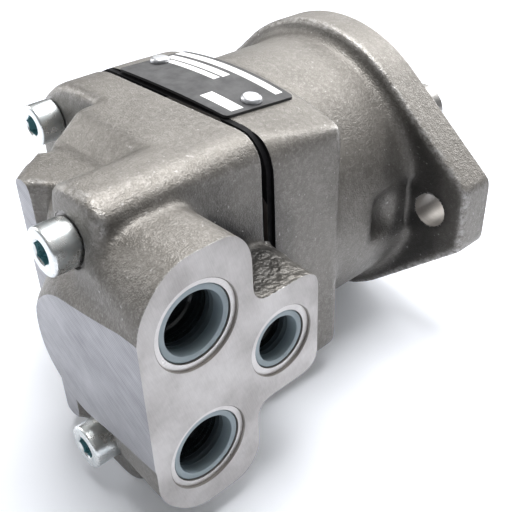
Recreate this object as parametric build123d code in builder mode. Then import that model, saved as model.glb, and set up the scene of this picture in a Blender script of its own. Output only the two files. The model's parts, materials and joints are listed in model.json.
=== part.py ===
"""Bent-axis piston motor, millimetres.

The mounting face lies in the plane Y = 0 with the shaft pointing along +Y and Z up. The barrel axis
crosses the shaft axis at the bend point, behind the mounting face, and leans towards the ports at +X.
"""

import os
from math import atan, cos, inf, pi, radians, sin, sqrt, tan

from build123d import *

os.makedirs("parts", exist_ok=True)

# Where the two axes cross
bend_angle = 40
bend_to_flange = 68
piston_count = 5
ball_circle_radius = 13
piston_length = 26

# Mounting flange: two bolts and an 82.55 mm pilot
pilot_radius = 82.55 / 2
pilot_height = 6.35
pilot_chamfer = 0.8
flange_step = 5.5
flange_thickness = 12.5
flange_cove = 4
bolt_spacing = 106.4
bolt_hole_radius = 5.75
bolt_head_room_radius = 12.5
bolt_head_room_length = 17.5
ear_reach = 66.2
ear_height = 22
ear_corner = 3

# Housing block, seam and neck
block_width = 93
block_corner = 12
block_far_corner = 27
block_length = 29.5
block_shoulder = 3
crown_at_seam = 2.2
crown_at_neck = 8
neck_step = 1
seam_to_bend = 12
seal_plate_thickness = 3
seal_plate_inset = 3
seal_window_corner = 20
seal_window_rim = 7.5
seal_window_far_rim = 16.5
seal_window_top_rim = 18.5

# End cap casting: a base, and a thicker middle that slopes down to the barrel casing
cap_base_fillet = 3.5
short_seat_depth = 15.3
short_seat_rim = 1
long_seat_depth = 49
ridge_edge_x = -6.5
ridge_depth = 21.5
ridge_slope_depth = 31
ridge_round = 5
ridge_side_round = 3.5
lug_width = 22.5
lug_corner = 8
casing_half_width = 33
casing_half_height = 40
casing_round = 6
casing_end_fillet = 1.5
casing_length = 56.5
tongue_depth = 55
tongue_half_height = 19
tongue_centre_x = 32

# Port block: its face looks along +X
port_face_x = 66.3
port_block_root_x = 20
port_lobe_round = 17
port_lobe_reach = 38.5
port_lobe_outer_corner = 8.5
port_waist_depth = 21.5
port_waist_round = 4.5
port_nose_half_height = 16.7
port_nose_reach = 1
port_nose_corner = 5.5
seam_clearance = 0.5

# Ports
main_port_spread = 20
main_port_depth_y = 38.5
main_port_radius = 9.3
main_port_mouth_radius = 10.5
main_port_spotface_radius = 12
main_port_bore_depth = 17
drain_port_depth_y = 12.4
drain_port_radius = 7.45
drain_port_mouth_radius = 8.6
drain_port_spotface_radius = 10.4
drain_port_bore_depth = 12
spotface_depth = 0.8
mouth_depth = 1.4
passage_radius = 4.5
drain_passage_radius = 2.5

# Transport plugs
plug_wall = 0.7
plug_floor = 1
plug_clearance = 0.1
plug_lip_thickness = 1
main_plug_depth = 12
drain_plug_depth = 9

# Cap screws, M8 socket head
screw_inset = 13.7
screw_radius = 4
screw_head_radius = 6.5
screw_head_height = 8
screw_hex_across_flats = 6
screw_hex_depth = 4
screw_head_chamfer = 0.8
head_room = 1.5
screw_grip = 19
screw_hole_clearance = 0.5
thread_clearance = 0.05
tapped_hole_extra = 4

# Nameplate and rivets
plate_width = 51
plate_depth = 25.6
plate_centre_x = 3.9
plate_from_seam = 0.4
plate_thickness = 0.8
plate_corner = 1.5
rivet_spread = 42.5
rivet_head_radius = 3.1
rivet_head_height = 1.5
rivet_shank_radius = 1.2
rivet_shank_length = 5
rivet_dome = 1.2
rivet_head_lift = 0.1

# Barrel, measured along its own axis from the bend point
barrel_radius = 18.5
barrel_front = 15
barrel_end = 40
barrel_chamfer = 1.2
bore_radius = 5
bore_floor = 2.5
kidney_width = 5
bore_kidney_span = 40
plate_kidney_span = 130
plate_kidney_turn = 90
valve_plate_length = 3.45
valve_plate_gap = 0.05
valve_plate_hole_radius = 4
locating_pin_radius = 1.5
locating_pin_length = 6
locating_pin_cover = 0.5
locating_pin_circle = 16
bush_wall = 1.95
bush_length = 9.5
running_clearance = 0.05
fit_clearance = 0.02
gear_room_radius = 26.8
gear_room_end = 22

# Pistons
piston_head_radius = bore_radius - running_clearance
piston_head_half_length = 2.5
piston_ball_radius = 4.5
piston_neck_radius = 2.9
piston_waist_radius = 3.9
ring_width = 1.2
ring_depth = 0.9
ring_side_clearance = 0.05
ball_seat_radius = 5.2
ball_seat_depth = 6.2

# Centre pin and disc springs
pin_ball_radius = 4
pin_radius = 2.8
pin_collar_radius = 5
pin_collar_start = 15.5
pin_collar_length = 2
spring_pocket_radius = 5.3
spring_pocket_end = 28
pin_end = 35
spring_count = 4
spring_thickness = 0.8
spring_bore_clearance = 0.3

# Timing gears
gear_teeth = 20
gear_cone_outer = 26
gear_cone_inner = 21.8
gear_addendum = 1.2
gear_dedendum = 1.6
gear_backlash = 0.35
gear_flank_angle = 22
gear_bore_radius = 18.5
gear_hub_radius = 20.8
gear_rim_back = 12.5
barrel_gear_hub_end = 20
barrel_gear_hub_front = 11.5
shaft_gear_hub_front = 9
gear_tooth_root_overlap = 0.4

# Output shaft
drive_flange_radius = 19.5
drive_flange_step = 6.5
drive_flange_length = 12.5
shaft_shoulder_radius = 17.5
shaft_shoulder_length = 1.5
rear_journal_radius = 15
front_journal_radius = 12.5
seal_journal_radius = 11
output_radius = 10
output_start = 4
output_length = 55
output_chamfer = 1
key_width = 6
key_height = 6
key_length = 32
key_slot_depth = 3.5
key_start = 16
shaft_thread_radius = 2.5
shaft_thread_depth = 16

# Taper roller bearings
roller_tilt = 12
roller_clearance = 0.03
rear_bearing_outer_radius = 27.5
rear_bearing_width = 16
rear_roller_radius = 2.8
rear_roller_length = 10.5
rear_roller_count = 14
front_bearing_outer_radius = 23.5
front_bearing_width = 14
front_roller_radius = 2.4
front_roller_length = 9
front_roller_count = 14
cage_thickness = 1
cage_window_clearance = 0.15
bearing_rib_length = 2.5
bearing_rib_radius = 21

# Chamber, nut, seal carrier and shaft seal
chamber_radius = 31
nut_radius = 16
nut_length = 5
nut_slot_width = 4
nut_slot_depth = 2
carrier_radius = 25
carrier_length = 16
carrier_back_gap = 1.5
carrier_lip_radius = 13
seal_outer_radius = 17.5
seal_width = 7
seal_case_wall = 1
o_ring_radius = 0.95
o_ring_squeeze = 0.05
clip_thickness = 1.5
clip_groove_depth = 1.5
clip_radial_width = 4
clip_gap_angle = 36
clip_lug_radius = 2.2
clip_hole_radius = 0.9

# Places that follow from the sizes above
tilt = radians(bend_angle)
bend = Vector(0, -bend_to_flange, 0)
barrel_along = Vector(sin(tilt), -cos(tilt), 0)
barrel_across = Vector(cos(tilt), sin(tilt), 0)
barrel_axis = Axis(bend, barrel_along)
barrel_section = Plane(origin=bend, x_dir=barrel_across, z_dir=(0, 0, -1))
shaft_section = Plane.XY
seam_y = -bend_to_flange - seam_to_bend
block_back = seam_y + seal_plate_thickness
bore_circle_radius = ball_circle_radius * (1 + cos(tilt)) / 2
head_swing = ball_circle_radius * (1 - cos(tilt)) / 2
valve_plate_start = barrel_end + valve_plate_gap
valve_seat = valve_plate_start + valve_plate_length
half_block = block_width / 2
neck_radius = half_block - neck_step
flange_radius = neck_radius + flange_step
screw_spread = half_block - screw_inset
lug_edge = half_block - lug_width
drive_flange_back = -bend_to_flange + drive_flange_length
rear_bearing_back = drive_flange_back + shaft_shoulder_length
rear_bearing_front = rear_bearing_back + rear_bearing_width
front_bearing_back = rear_bearing_front + bearing_rib_length
front_bearing_front = front_bearing_back + front_bearing_width
nut_front = front_bearing_front + nut_length
carrier_back = front_bearing_front + carrier_back_gap
carrier_front = carrier_back + carrier_length
seal_back = carrier_front - seal_width
clip_front = carrier_front + clip_thickness
bush_seat_radius = barrel_radius + running_clearance + bush_wall + fit_clearance
seal_window_reach = half_block - seal_window_rim
seal_window_back_reach = half_block - seal_window_far_rim
seal_window_half_height = half_block - seal_window_top_rim
window_centre_x = (seal_window_reach - seal_window_back_reach) / 2
window_width = seal_window_reach + seal_window_back_reach
window_height = 2 * seal_window_half_height
main_port_places = [(seam_y - main_port_depth_y, z) for z in (-main_port_spread, main_port_spread)]
drain_port_place = (seam_y - drain_port_depth_y, 0)
passage_start_x = port_face_x - spotface_depth - main_port_bore_depth + passage_radius / 2
drain_passage_start_x = port_face_x - spotface_depth - drain_port_bore_depth + drain_passage_radius / 2
clip_gap_far = 2 * carrier_radius * tan(radians(clip_gap_angle / 2))
clip_lug_reach = carrier_radius + clip_groove_depth - clip_radial_width
clip_lug_angle = radians(clip_gap_angle / 2) + clip_lug_radius / clip_lug_reach
clip_lug_x = clip_lug_reach * sin(clip_lug_angle)
clip_lug_z = clip_lug_reach * cos(clip_lug_angle)
plate_centre_y = block_back + plate_from_seam + plate_depth / 2
rivet_places = (plate_centre_x - rivet_spread / 2, plate_centre_x + rivet_spread / 2)
screw_places = [(x, z) for x in (-screw_spread, screw_spread) for z in (-screw_spread, screw_spread)]


def across(y):
    """Plane square to the shaft at y, with X to the right and Z up. Its normal looks along -Y."""
    return Plane.XZ.offset(-y)


def barrel_face(distance):
    """Plane square to the barrel axis at a distance from the bend point."""
    return Plane(origin=bend + barrel_along * distance, x_dir=barrel_across, z_dir=barrel_along)


def rivet_plane(x):
    """Plane on the crowned top of the block under a rivet, leaning with the surface."""
    growth = (crown_at_neck - crown_at_seam) / block_length
    bow = crown_at_seam + growth * (plate_centre_y - block_back)
    share = (x / half_block) ** 2
    normal = Vector(2 * bow * x / half_block**2, growth * share, 1)
    return Plane(origin=(x, plate_centre_y, half_block - bow * share), x_dir=(0, 1, 0), z_dir=normal)


def block_outline(inset):
    """Square of the housing block, with larger corners on the side away from the ports."""
    reach = half_block - inset
    near, far = block_corner - inset, block_far_corner - inset
    with BuildSketch() as outline:
        with BuildLine():
            FilletPolyline(
                (reach, reach),
                (-reach, reach),
                (-reach, -reach),
                (reach, -reach),
                radius=[near, far, far, near],
                close=True,
            )
        make_face()
    return outline.sketch


def above_crown(sag):
    """Face above a shallow arc that falls by sag from the middle of the block to its sides."""
    edge_height = half_block - sag
    with BuildSketch() as face:
        with BuildLine():
            ThreePointArc((-half_block, edge_height), (0, half_block), (half_block, edge_height))
            Polyline(
                (half_block, edge_height),
                (half_block, block_width),
                (-half_block, block_width),
                (-half_block, edge_height),
            )
        make_face()
    return face.sketch


# ---- Bearing housing: block, neck, flange, pilot and stepped bore
with BuildPart() as crown_cutter:
    with BuildSketch(across(block_back)):
        add(above_crown(crown_at_seam))
    with BuildSketch(across(block_back + block_length)):
        add(above_crown(crown_at_neck))
    loft(ruled=True)

with BuildPart() as bearing_housing:
    with BuildSketch(across(block_back)):
        add(block_outline(0))
    extrude(amount=-block_length)
    fillet(bearing_housing.faces().sort_by(Axis.Y)[-1].edges(), block_shoulder)
    add(crown_cutter.part, mode=Mode.SUBTRACT)
    add(crown_cutter.part.rotate(Axis.Y, 180), mode=Mode.SUBTRACT)
    with BuildSketch(across(block_back)):
        Circle(neck_radius)
    extrude(amount=block_back + flange_thickness)
    with BuildSketch(across(-flange_thickness)) as flange_outline:
        Circle(flange_radius)
        with Locations((ear_reach - ear_corner, 0), (-ear_reach + ear_corner, 0)):
            Rectangle(2 * ear_corner, ear_height)
        make_hull()
        ear_ends = flange_outline.vertices().group_by(Axis.X)
        fillet(ear_ends[0] + ear_ends[-1], ear_corner)
    extrude(amount=-flange_thickness)
    neck_foot = bearing_housing.edges().filter_by(GeomType.CIRCLE).filter_by_position(
        Axis.Y, -flange_thickness, -flange_thickness
    )
    fillet(neck_foot.filter_by(lambda edge: abs(edge.radius - neck_radius) < 0.01), flange_cove)
    with BuildSketch(across(0)):
        Circle(pilot_radius)
    extrude(amount=-pilot_height)
    chamfer(bearing_housing.faces().sort_by(Axis.Y)[-1].edges(), pilot_chamfer)
    with BuildSketch(across(-flange_thickness)):
        with Locations((-bolt_spacing / 2, 0), (bolt_spacing / 2, 0)):
            Circle(bolt_head_room_radius)
    extrude(amount=bolt_head_room_length, mode=Mode.SUBTRACT)
    with Locations(across(0)):
        with Locations((-bolt_spacing / 2, 0), (bolt_spacing / 2, 0)):
            Cylinder(bolt_hole_radius, 4 * flange_thickness, mode=Mode.SUBTRACT)
    with BuildSketch(shaft_section):
        Polygon(
            (0, block_back),
            (chamber_radius, block_back),
            (chamber_radius, rear_bearing_back),
            (rear_bearing_outer_radius, rear_bearing_back),
            (rear_bearing_outer_radius, rear_bearing_front),
            (bearing_rib_radius, rear_bearing_front),
            (bearing_rib_radius, front_bearing_back),
            (front_bearing_outer_radius, front_bearing_back),
            (front_bearing_outer_radius, front_bearing_front),
            (carrier_radius, carrier_back),
            (carrier_radius, pilot_height),
            (0, pilot_height),
            align=None,
        )
    revolve(axis=Axis.Y, mode=Mode.SUBTRACT)
    with BuildSketch(across(carrier_front)):
        Circle(carrier_radius + clip_groove_depth)
    extrude(amount=-clip_thickness, mode=Mode.SUBTRACT)
    with BuildSketch(barrel_face(0)):
        Circle(bush_seat_radius)
    extrude(amount=valve_seat, mode=Mode.SUBTRACT)
    with BuildSketch(across(block_back)):
        with Locations(*screw_places):
            Circle(screw_radius + thread_clearance)
    extrude(amount=-(screw_grip - seal_plate_thickness + tapped_hole_extra), mode=Mode.SUBTRACT)
    for x in rivet_places:
        with BuildSketch(rivet_plane(x)):
            Circle(rivet_shank_radius + thread_clearance)
        extrude(amount=rivet_shank_length, both=True, mode=Mode.SUBTRACT)
bearing_housing.part.label = "bearing_housing"
export_step(bearing_housing.part, "parts/bearing_housing.step")

# ---- Seal plate in the seam, set in from the castings, with a window for the barrel
with BuildPart() as housing_seal_plate:
    with BuildSketch(across(seam_y)):
        add(block_outline(seal_plate_inset))
        with Locations((window_centre_x, 0)):
            RectangleRounded(window_width, window_height, seal_window_corner, mode=Mode.SUBTRACT)
        with Locations(*screw_places):
            Circle(screw_radius + screw_hole_clearance, mode=Mode.SUBTRACT)
    extrude(amount=-seal_plate_thickness)
housing_seal_plate.part.label = "housing_seal_plate"
export_step(housing_seal_plate.part, "parts/housing_seal_plate.step")

# ---- End cap: square base, tilted barrel casing, two long screw lugs, port block and milled tongue
with BuildPart() as casing:
    with BuildSketch(barrel_section):
        Polygon(
            (-casing_half_width, -block_width),
            (casing_half_width, -block_width),
            (casing_half_width, casing_length),
            (-casing_half_width, casing_length),
            align=None,
        )
    extrude(amount=casing_half_height, both=True)
    fillet(casing.edges().filter_by(barrel_axis), casing_round)
    fillet(casing.faces().sort_by(barrel_axis)[-1].edges(), casing_end_fillet)
    split(bisect_by=across(seam_y - long_seat_depth), keep=Keep.BOTTOM)
    split(bisect_by=across(seam_y), keep=Keep.TOP)
    split(bisect_by=Plane.YZ.offset(half_block), keep=Keep.BOTTOM)

with BuildPart() as ridge:
    with BuildSketch(Plane.YZ.offset(ridge_edge_x)):
        Polygon(
            (seam_y, half_block),
            (seam_y - ridge_depth, half_block),
            (seam_y - ridge_slope_depth, casing_half_height),
            (seam_y - ridge_slope_depth, -casing_half_height),
            (seam_y - ridge_depth, -half_block),
            (seam_y, -half_block),
            align=None,
        )
    extrude(amount=lug_edge + lug_corner - ridge_edge_x)
    fillet(ridge.edges().filter_by(Axis.X).group_by(Axis.Y)[1], ridge_round)
    ridge_side = ridge.faces().sort_by(Axis.X)[0].edges()
    fillet(ridge_side.filter_by_position(Axis.Z, casing_half_height - 1, inf), ridge_side_round)
    fillet(ridge_side.filter_by_position(Axis.Z, -inf, 1 - casing_half_height), ridge_side_round)

with BuildPart() as end_cap:
    with BuildSketch(across(seam_y)):
        add(block_outline(0))
    extrude(amount=short_seat_depth)
    fillet(end_cap.faces().sort_by(Axis.Y)[0].edges(), cap_base_fillet)
    with BuildSketch(across(seam_y)):
        with Locations((-screw_spread, -screw_spread), (-screw_spread, screw_spread)):
            Circle(screw_head_radius + short_seat_rim)
    extrude(amount=short_seat_depth)
    add(ridge.part)
    add(casing.part)
    with BuildSketch(across(seam_y)):
        for side in (-1, 1):
            with Locations((lug_edge + lug_width / 2, side * (lug_edge + lug_width / 2))):
                RectangleRounded(lug_width, lug_width, lug_corner)
    extrude(amount=long_seat_depth)
    with BuildSketch(Plane.YZ.offset(port_block_root_x)):
        with BuildLine():
            FilletPolyline(
                (seam_y - tongue_depth, port_lobe_reach),
                (seam_y - port_waist_depth, port_lobe_reach),
                (seam_y - port_waist_depth, port_nose_half_height),
                (seam_y + port_nose_reach, port_nose_half_height),
                (seam_y + port_nose_reach, -port_nose_half_height),
                (seam_y - port_waist_depth, -port_nose_half_height),
                (seam_y - port_waist_depth, -port_lobe_reach),
                (seam_y - tongue_depth, -port_lobe_reach),
                radius=[
                    port_lobe_round,
                    port_lobe_outer_corner,
                    port_waist_round,
                    port_nose_corner,
                    port_nose_corner,
                    port_waist_round,
                    port_lobe_outer_corner,
                    port_lobe_round,
                ],
                close=True,
            )
        make_face()
    extrude(amount=port_face_x - port_block_root_x)
    with BuildSketch(across(seam_y)):
        with Locations(((port_block_root_x + half_block) / 2, 0)):
            Rectangle(half_block - port_block_root_x + seam_clearance, 2 * port_lobe_reach)
    extrude(amount=-port_nose_reach, mode=Mode.SUBTRACT)
    with BuildSketch(across(seam_y - tongue_depth)):
        with Locations((tongue_centre_x, 0)):
            Circle(tongue_half_height)
        with Locations(((tongue_centre_x + port_face_x) / 2, 0)):
            Rectangle(port_face_x - tongue_centre_x, 2 * tongue_half_height)
    extrude(amount=-tongue_depth / 2)
    with BuildSketch(barrel_section):
        Polygon(
            (0, -casing_length),
            (gear_room_radius, -casing_length),
            (gear_room_radius, gear_room_end),
            (bush_seat_radius, gear_room_end),
            (bush_seat_radius, valve_seat),
            (0, valve_seat),
            align=None,
        )
    revolve(axis=barrel_axis, mode=Mode.SUBTRACT)
    with BuildSketch(Plane.YZ.offset(port_face_x)):
        with Locations(*main_port_places):
            Circle(main_port_spotface_radius)
        with Locations(drain_port_place):
            Circle(drain_port_spotface_radius)
    extrude(amount=-spotface_depth, mode=Mode.SUBTRACT)
    with BuildSketch(Plane.YZ.offset(port_face_x - spotface_depth)):
        with Locations(*main_port_places):
            Circle(main_port_mouth_radius)
        with Locations(drain_port_place):
            Circle(drain_port_mouth_radius)
    extrude(amount=-mouth_depth, mode=Mode.SUBTRACT)
    with BuildSketch(Plane.YZ.offset(port_face_x - spotface_depth)):
        with Locations(*main_port_places):
            Circle(main_port_radius)
    extrude(amount=-main_port_bore_depth, mode=Mode.SUBTRACT)
    with BuildSketch(Plane.YZ.offset(port_face_x - spotface_depth)):
        with Locations(drain_port_place):
            Circle(drain_port_radius)
    extrude(amount=-drain_port_bore_depth, mode=Mode.SUBTRACT)
    for side in (-1, 1):
        mouth = Vector(passage_start_x, seam_y - main_port_depth_y, side * main_port_spread)
        kidney = bend + barrel_along * valve_seat + Vector(0, 0, side * bore_circle_radius)
        run = kidney - mouth
        with BuildSketch(Plane(origin=mouth, z_dir=run)):
            Circle(passage_radius)
        extrude(amount=run.length, mode=Mode.SUBTRACT)
    drain_mouth = Vector(drain_passage_start_x, seam_y - drain_port_depth_y, 0)
    drain_run = Vector(seal_window_reach - 2 * drain_passage_radius, seam_y, 0) - drain_mouth
    with BuildSketch(Plane(origin=drain_mouth, z_dir=drain_run)):
        Circle(drain_passage_radius)
    extrude(amount=drain_run.length + drain_passage_radius, mode=Mode.SUBTRACT)
    with BuildSketch(across(seam_y)):
        with Locations(*screw_places):
            Circle(screw_radius + screw_hole_clearance)
    extrude(amount=tongue_depth, mode=Mode.SUBTRACT)
    for x, seat_depth in ((screw_spread, long_seat_depth), (-screw_spread, short_seat_depth)):
        with BuildSketch(across(seam_y - seat_depth)):
            with Locations((x, -screw_spread), (x, screw_spread)):
                Circle(screw_head_radius + head_room)
        extrude(amount=tongue_depth, mode=Mode.SUBTRACT)
    with BuildSketch(barrel_face(valve_seat)):
        with Locations((locating_pin_circle, 0)):
            Circle(locating_pin_radius + fit_clearance)
    extrude(amount=locating_pin_length / 2 + fit_clearance, mode=Mode.SUBTRACT)
end_cap.part.label = "end_cap"
export_step(end_cap.part, "parts/end_cap.step")

# ---- Cap screws: two long ones through the lugs, two short ones through the corners
def cap_screws(seat_depth, x):
    """A pair of socket head screws at x, with their heads seated on the end cap."""
    with BuildPart() as screws:
        with BuildSketch(across(seam_y - seat_depth)):
            with Locations((x, -screw_spread), (x, screw_spread)):
                Circle(screw_head_radius)
        extrude(amount=screw_head_height)
        chamfer(screws.faces().group_by(Axis.Y)[0].edges(), screw_head_chamfer)
        with BuildSketch(across(seam_y - seat_depth)):
            with Locations((x, -screw_spread), (x, screw_spread)):
                Circle(screw_radius)
        extrude(amount=-(seat_depth + screw_grip))
        with BuildSketch(across(seam_y - seat_depth - screw_head_height)):
            with Locations((x, -screw_spread), (x, screw_spread)):
                RegularPolygon(screw_hex_across_flats / 2, 6, major_radius=False)
        extrude(amount=-screw_hex_depth, mode=Mode.SUBTRACT)
    return screws.part


cap_screws_long = cap_screws(long_seat_depth, screw_spread)
cap_screws_long.label = "cap_screws_long"
export_step(cap_screws_long, "parts/cap_screws_long.step")

cap_screws_short = cap_screws(short_seat_depth, -screw_spread)
cap_screws_short.label = "cap_screws_short"
export_step(cap_screws_short, "parts/cap_screws_short.step")

# ---- Nameplate: thin sheet that follows the crowned top of the housing block
with BuildPart() as plate_sheet:
    for y, sag in ((block_back, crown_at_seam), (block_back + block_length, crown_at_neck)):
        with BuildSketch(across(y)):
            with BuildLine():
                for lift in (0, plate_thickness):
                    edge_height = half_block - sag + lift
                    ThreePointArc((-half_block, edge_height), (0, half_block + lift), (half_block, edge_height))
                for side in (-half_block, half_block):
                    Line((side, half_block - sag), (side, half_block - sag + plate_thickness))
            make_face()
    loft(ruled=True)

with BuildPart() as nameplate:
    with BuildSketch(Plane.XY.offset(half_block - crown_at_neck)):
        with Locations((plate_centre_x, plate_centre_y)):
            RectangleRounded(plate_width, plate_depth, plate_corner)
    extrude(amount=2 * crown_at_neck)
    add(plate_sheet.part, mode=Mode.INTERSECT)
    for x in rivet_places:
        with BuildSketch(rivet_plane(x)):
            Circle(rivet_shank_radius + thread_clearance)
        extrude(amount=plate_thickness, both=True, mode=Mode.SUBTRACT)
nameplate.part.label = "nameplate"
export_step(nameplate.part, "parts/nameplate.step")

# ---- Rivets: domed heads square to the plate, shanks in blind holes of the block
with BuildPart() as nameplate_rivets:
    for x in rivet_places:
        with BuildSketch(rivet_plane(x).offset(plate_thickness + rivet_head_lift)):
            Circle(rivet_head_radius)
        extrude(amount=rivet_head_height)
    tops = nameplate_rivets.faces().filter_by(lambda face: face.normal_at().Z > 0.5)
    fillet(tops.edges(), rivet_dome)
    for x in rivet_places:
        with BuildSketch(rivet_plane(x).offset(plate_thickness + rivet_head_height / 2)):
            Circle(rivet_shank_radius)
        extrude(amount=-rivet_shank_length)
nameplate_rivets.part.label = "nameplate_rivets"
export_step(nameplate_rivets.part, "parts/nameplate_rivets.step")


# ---- Transport plugs: thin plastic cups pushed into the ports, with a lip in the mouth
def port_plug(name, place, bore, mouth, depth):
    """Cup for a port bore, with its lip against the step at the mouth."""
    y, z = place
    outer = bore - plug_clearance
    lip_outer = mouth - plug_clearance
    lip_x = port_face_x - spotface_depth - mouth_depth
    floor_x = lip_x - depth
    with BuildPart() as plug:
        with BuildSketch(Plane.YZ.offset(floor_x)):
            with Locations((y, z)):
                Circle(outer)
        extrude(amount=depth)
        with BuildSketch(Plane.YZ.offset(lip_x)):
            with Locations((y, z)):
                Circle(lip_outer)
        extrude(amount=plug_lip_thickness)
        with BuildSketch(Plane.YZ.offset(floor_x + plug_floor)):
            with Locations((y, z)):
                Circle(outer - plug_wall)
        extrude(amount=depth + mouth_depth, mode=Mode.SUBTRACT)
    plug.part.label = name
    export_step(plug.part, f"parts/{name}.step")


port_plug("port_plug_a", main_port_places[0], main_port_radius, main_port_mouth_radius, main_plug_depth)
port_plug("port_plug_b", main_port_places[1], main_port_radius, main_port_mouth_radius, main_plug_depth)
port_plug("drain_plug", drain_port_place, drain_port_radius, drain_port_mouth_radius, drain_plug_depth)

# ---- Kidney slots, bent along the bore circle: short ones in the barrel, long ones in the valve plate
bore_kidney = SlotArc(CenterArc((0, 0), bore_circle_radius, -bore_kidney_span / 2, bore_kidney_span), kidney_width)
plate_kidney = SlotArc(CenterArc((0, 0), bore_circle_radius, -plate_kidney_span / 2, plate_kidney_span), kidney_width)

# ---- Cylinder barrel: five bores, kidney slots in its end face, a pocket for the springs
with BuildPart() as cylinder_barrel:
    with BuildSketch(barrel_section):
        Polygon(
            (0, barrel_front),
            (barrel_radius - barrel_chamfer, barrel_front),
            (barrel_radius, barrel_front + barrel_chamfer),
            (barrel_radius, barrel_end),
            (0, barrel_end),
            align=None,
        )
    revolve(axis=barrel_axis)
    with BuildSketch(barrel_face(barrel_front)):
        with PolarLocations(bore_circle_radius, piston_count):
            Circle(bore_radius)
    extrude(amount=barrel_end - barrel_front - bore_floor, mode=Mode.SUBTRACT)
    with BuildSketch(barrel_face(barrel_end)):
        with PolarLocations(0, piston_count):
            add(bore_kidney)
    extrude(amount=-bore_floor, mode=Mode.SUBTRACT)
    with BuildSketch(barrel_face(barrel_front)):
        Circle(spring_pocket_radius)
    extrude(amount=spring_pocket_end - barrel_front, mode=Mode.SUBTRACT)
    with BuildSketch(barrel_face(barrel_front)):
        Circle(pin_radius + running_clearance)
    extrude(amount=pin_end - barrel_front + pin_radius, mode=Mode.SUBTRACT)
cylinder_barrel.part.label = "cylinder_barrel"
export_step(cylinder_barrel.part, "parts/cylinder_barrel.step")

# ---- Valve plate with two long kidney slots, its locating pin and the bush round both
with BuildPart() as valve_plate:
    with BuildSketch(barrel_face(valve_plate_start)):
        Circle(barrel_radius)
        Circle(valve_plate_hole_radius, mode=Mode.SUBTRACT)
        with PolarLocations(0, 2, start_angle=plate_kidney_turn):
            add(plate_kidney, mode=Mode.SUBTRACT)
    extrude(amount=valve_plate_length)
    with BuildSketch(barrel_face(valve_seat)):
        with Locations((locating_pin_circle, 0)):
            Circle(locating_pin_radius + fit_clearance)
    extrude(amount=locating_pin_cover - locating_pin_length / 2, mode=Mode.SUBTRACT)
valve_plate.part.label = "valve_plate"
export_step(valve_plate.part, "parts/valve_plate.step")

with BuildPart() as valve_plate_pin:
    with BuildSketch(barrel_face(valve_seat - locating_pin_length / 2 + locating_pin_cover + fit_clearance)):
        with Locations((locating_pin_circle, 0)):
            Circle(locating_pin_radius)
    extrude(amount=locating_pin_length - locating_pin_cover - fit_clearance)
valve_plate_pin.part.label = "valve_plate_pin"
export_step(valve_plate_pin.part, "parts/valve_plate_pin.step")

with BuildPart() as barrel_bush:
    with BuildSketch(barrel_face(valve_seat - bush_length)):
        Circle(barrel_radius + running_clearance + bush_wall)
        Circle(barrel_radius + running_clearance, mode=Mode.SUBTRACT)
    extrude(amount=bush_length)
barrel_bush.part.label = "barrel_bush"
export_step(barrel_bush.part, "parts/barrel_bush.step")

# ---- Centre pin: its ball sits in the drive flange, its collar holds the disc springs
with BuildPart() as centre_pin:
    with BuildSketch(barrel_section):
        Polygon((0, 0), (pin_radius, 0), (pin_radius, pin_end), (0, pin_end), align=None)
        Polygon(
            (0, pin_collar_start),
            (pin_collar_radius, pin_collar_start),
            (pin_collar_radius, pin_collar_start + pin_collar_length),
            (0, pin_collar_start + pin_collar_length),
            align=None,
        )
    revolve(axis=barrel_axis)
    with Locations(bend):
        Sphere(pin_ball_radius)
centre_pin.part.label = "centre_pin"
export_step(centre_pin.part, "parts/centre_pin.step")

# ---- Disc springs: coned washers stacked between the pin's collar and the pocket's floor
spring_start = pin_collar_start + pin_collar_length
spring_pitch = (spring_pocket_end - spring_start) / spring_count
with BuildPart() as disc_springs:
    for index in range(spring_count):
        near = spring_start + spring_pitch * index
        far = near + spring_pitch
        inner, outer = pin_radius + spring_bore_clearance, pin_collar_radius
        if index % 2:
            inner, outer = outer, inner
        with BuildSketch(barrel_section):
            Polygon(
                (inner, near),
                (inner, near + spring_thickness),
                (outer, far),
                (outer, far - spring_thickness),
                align=None,
            )
        revolve(axis=barrel_axis)
disc_springs.part.label = "disc_springs"
export_step(disc_springs.part, "parts/disc_springs.step")

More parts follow.
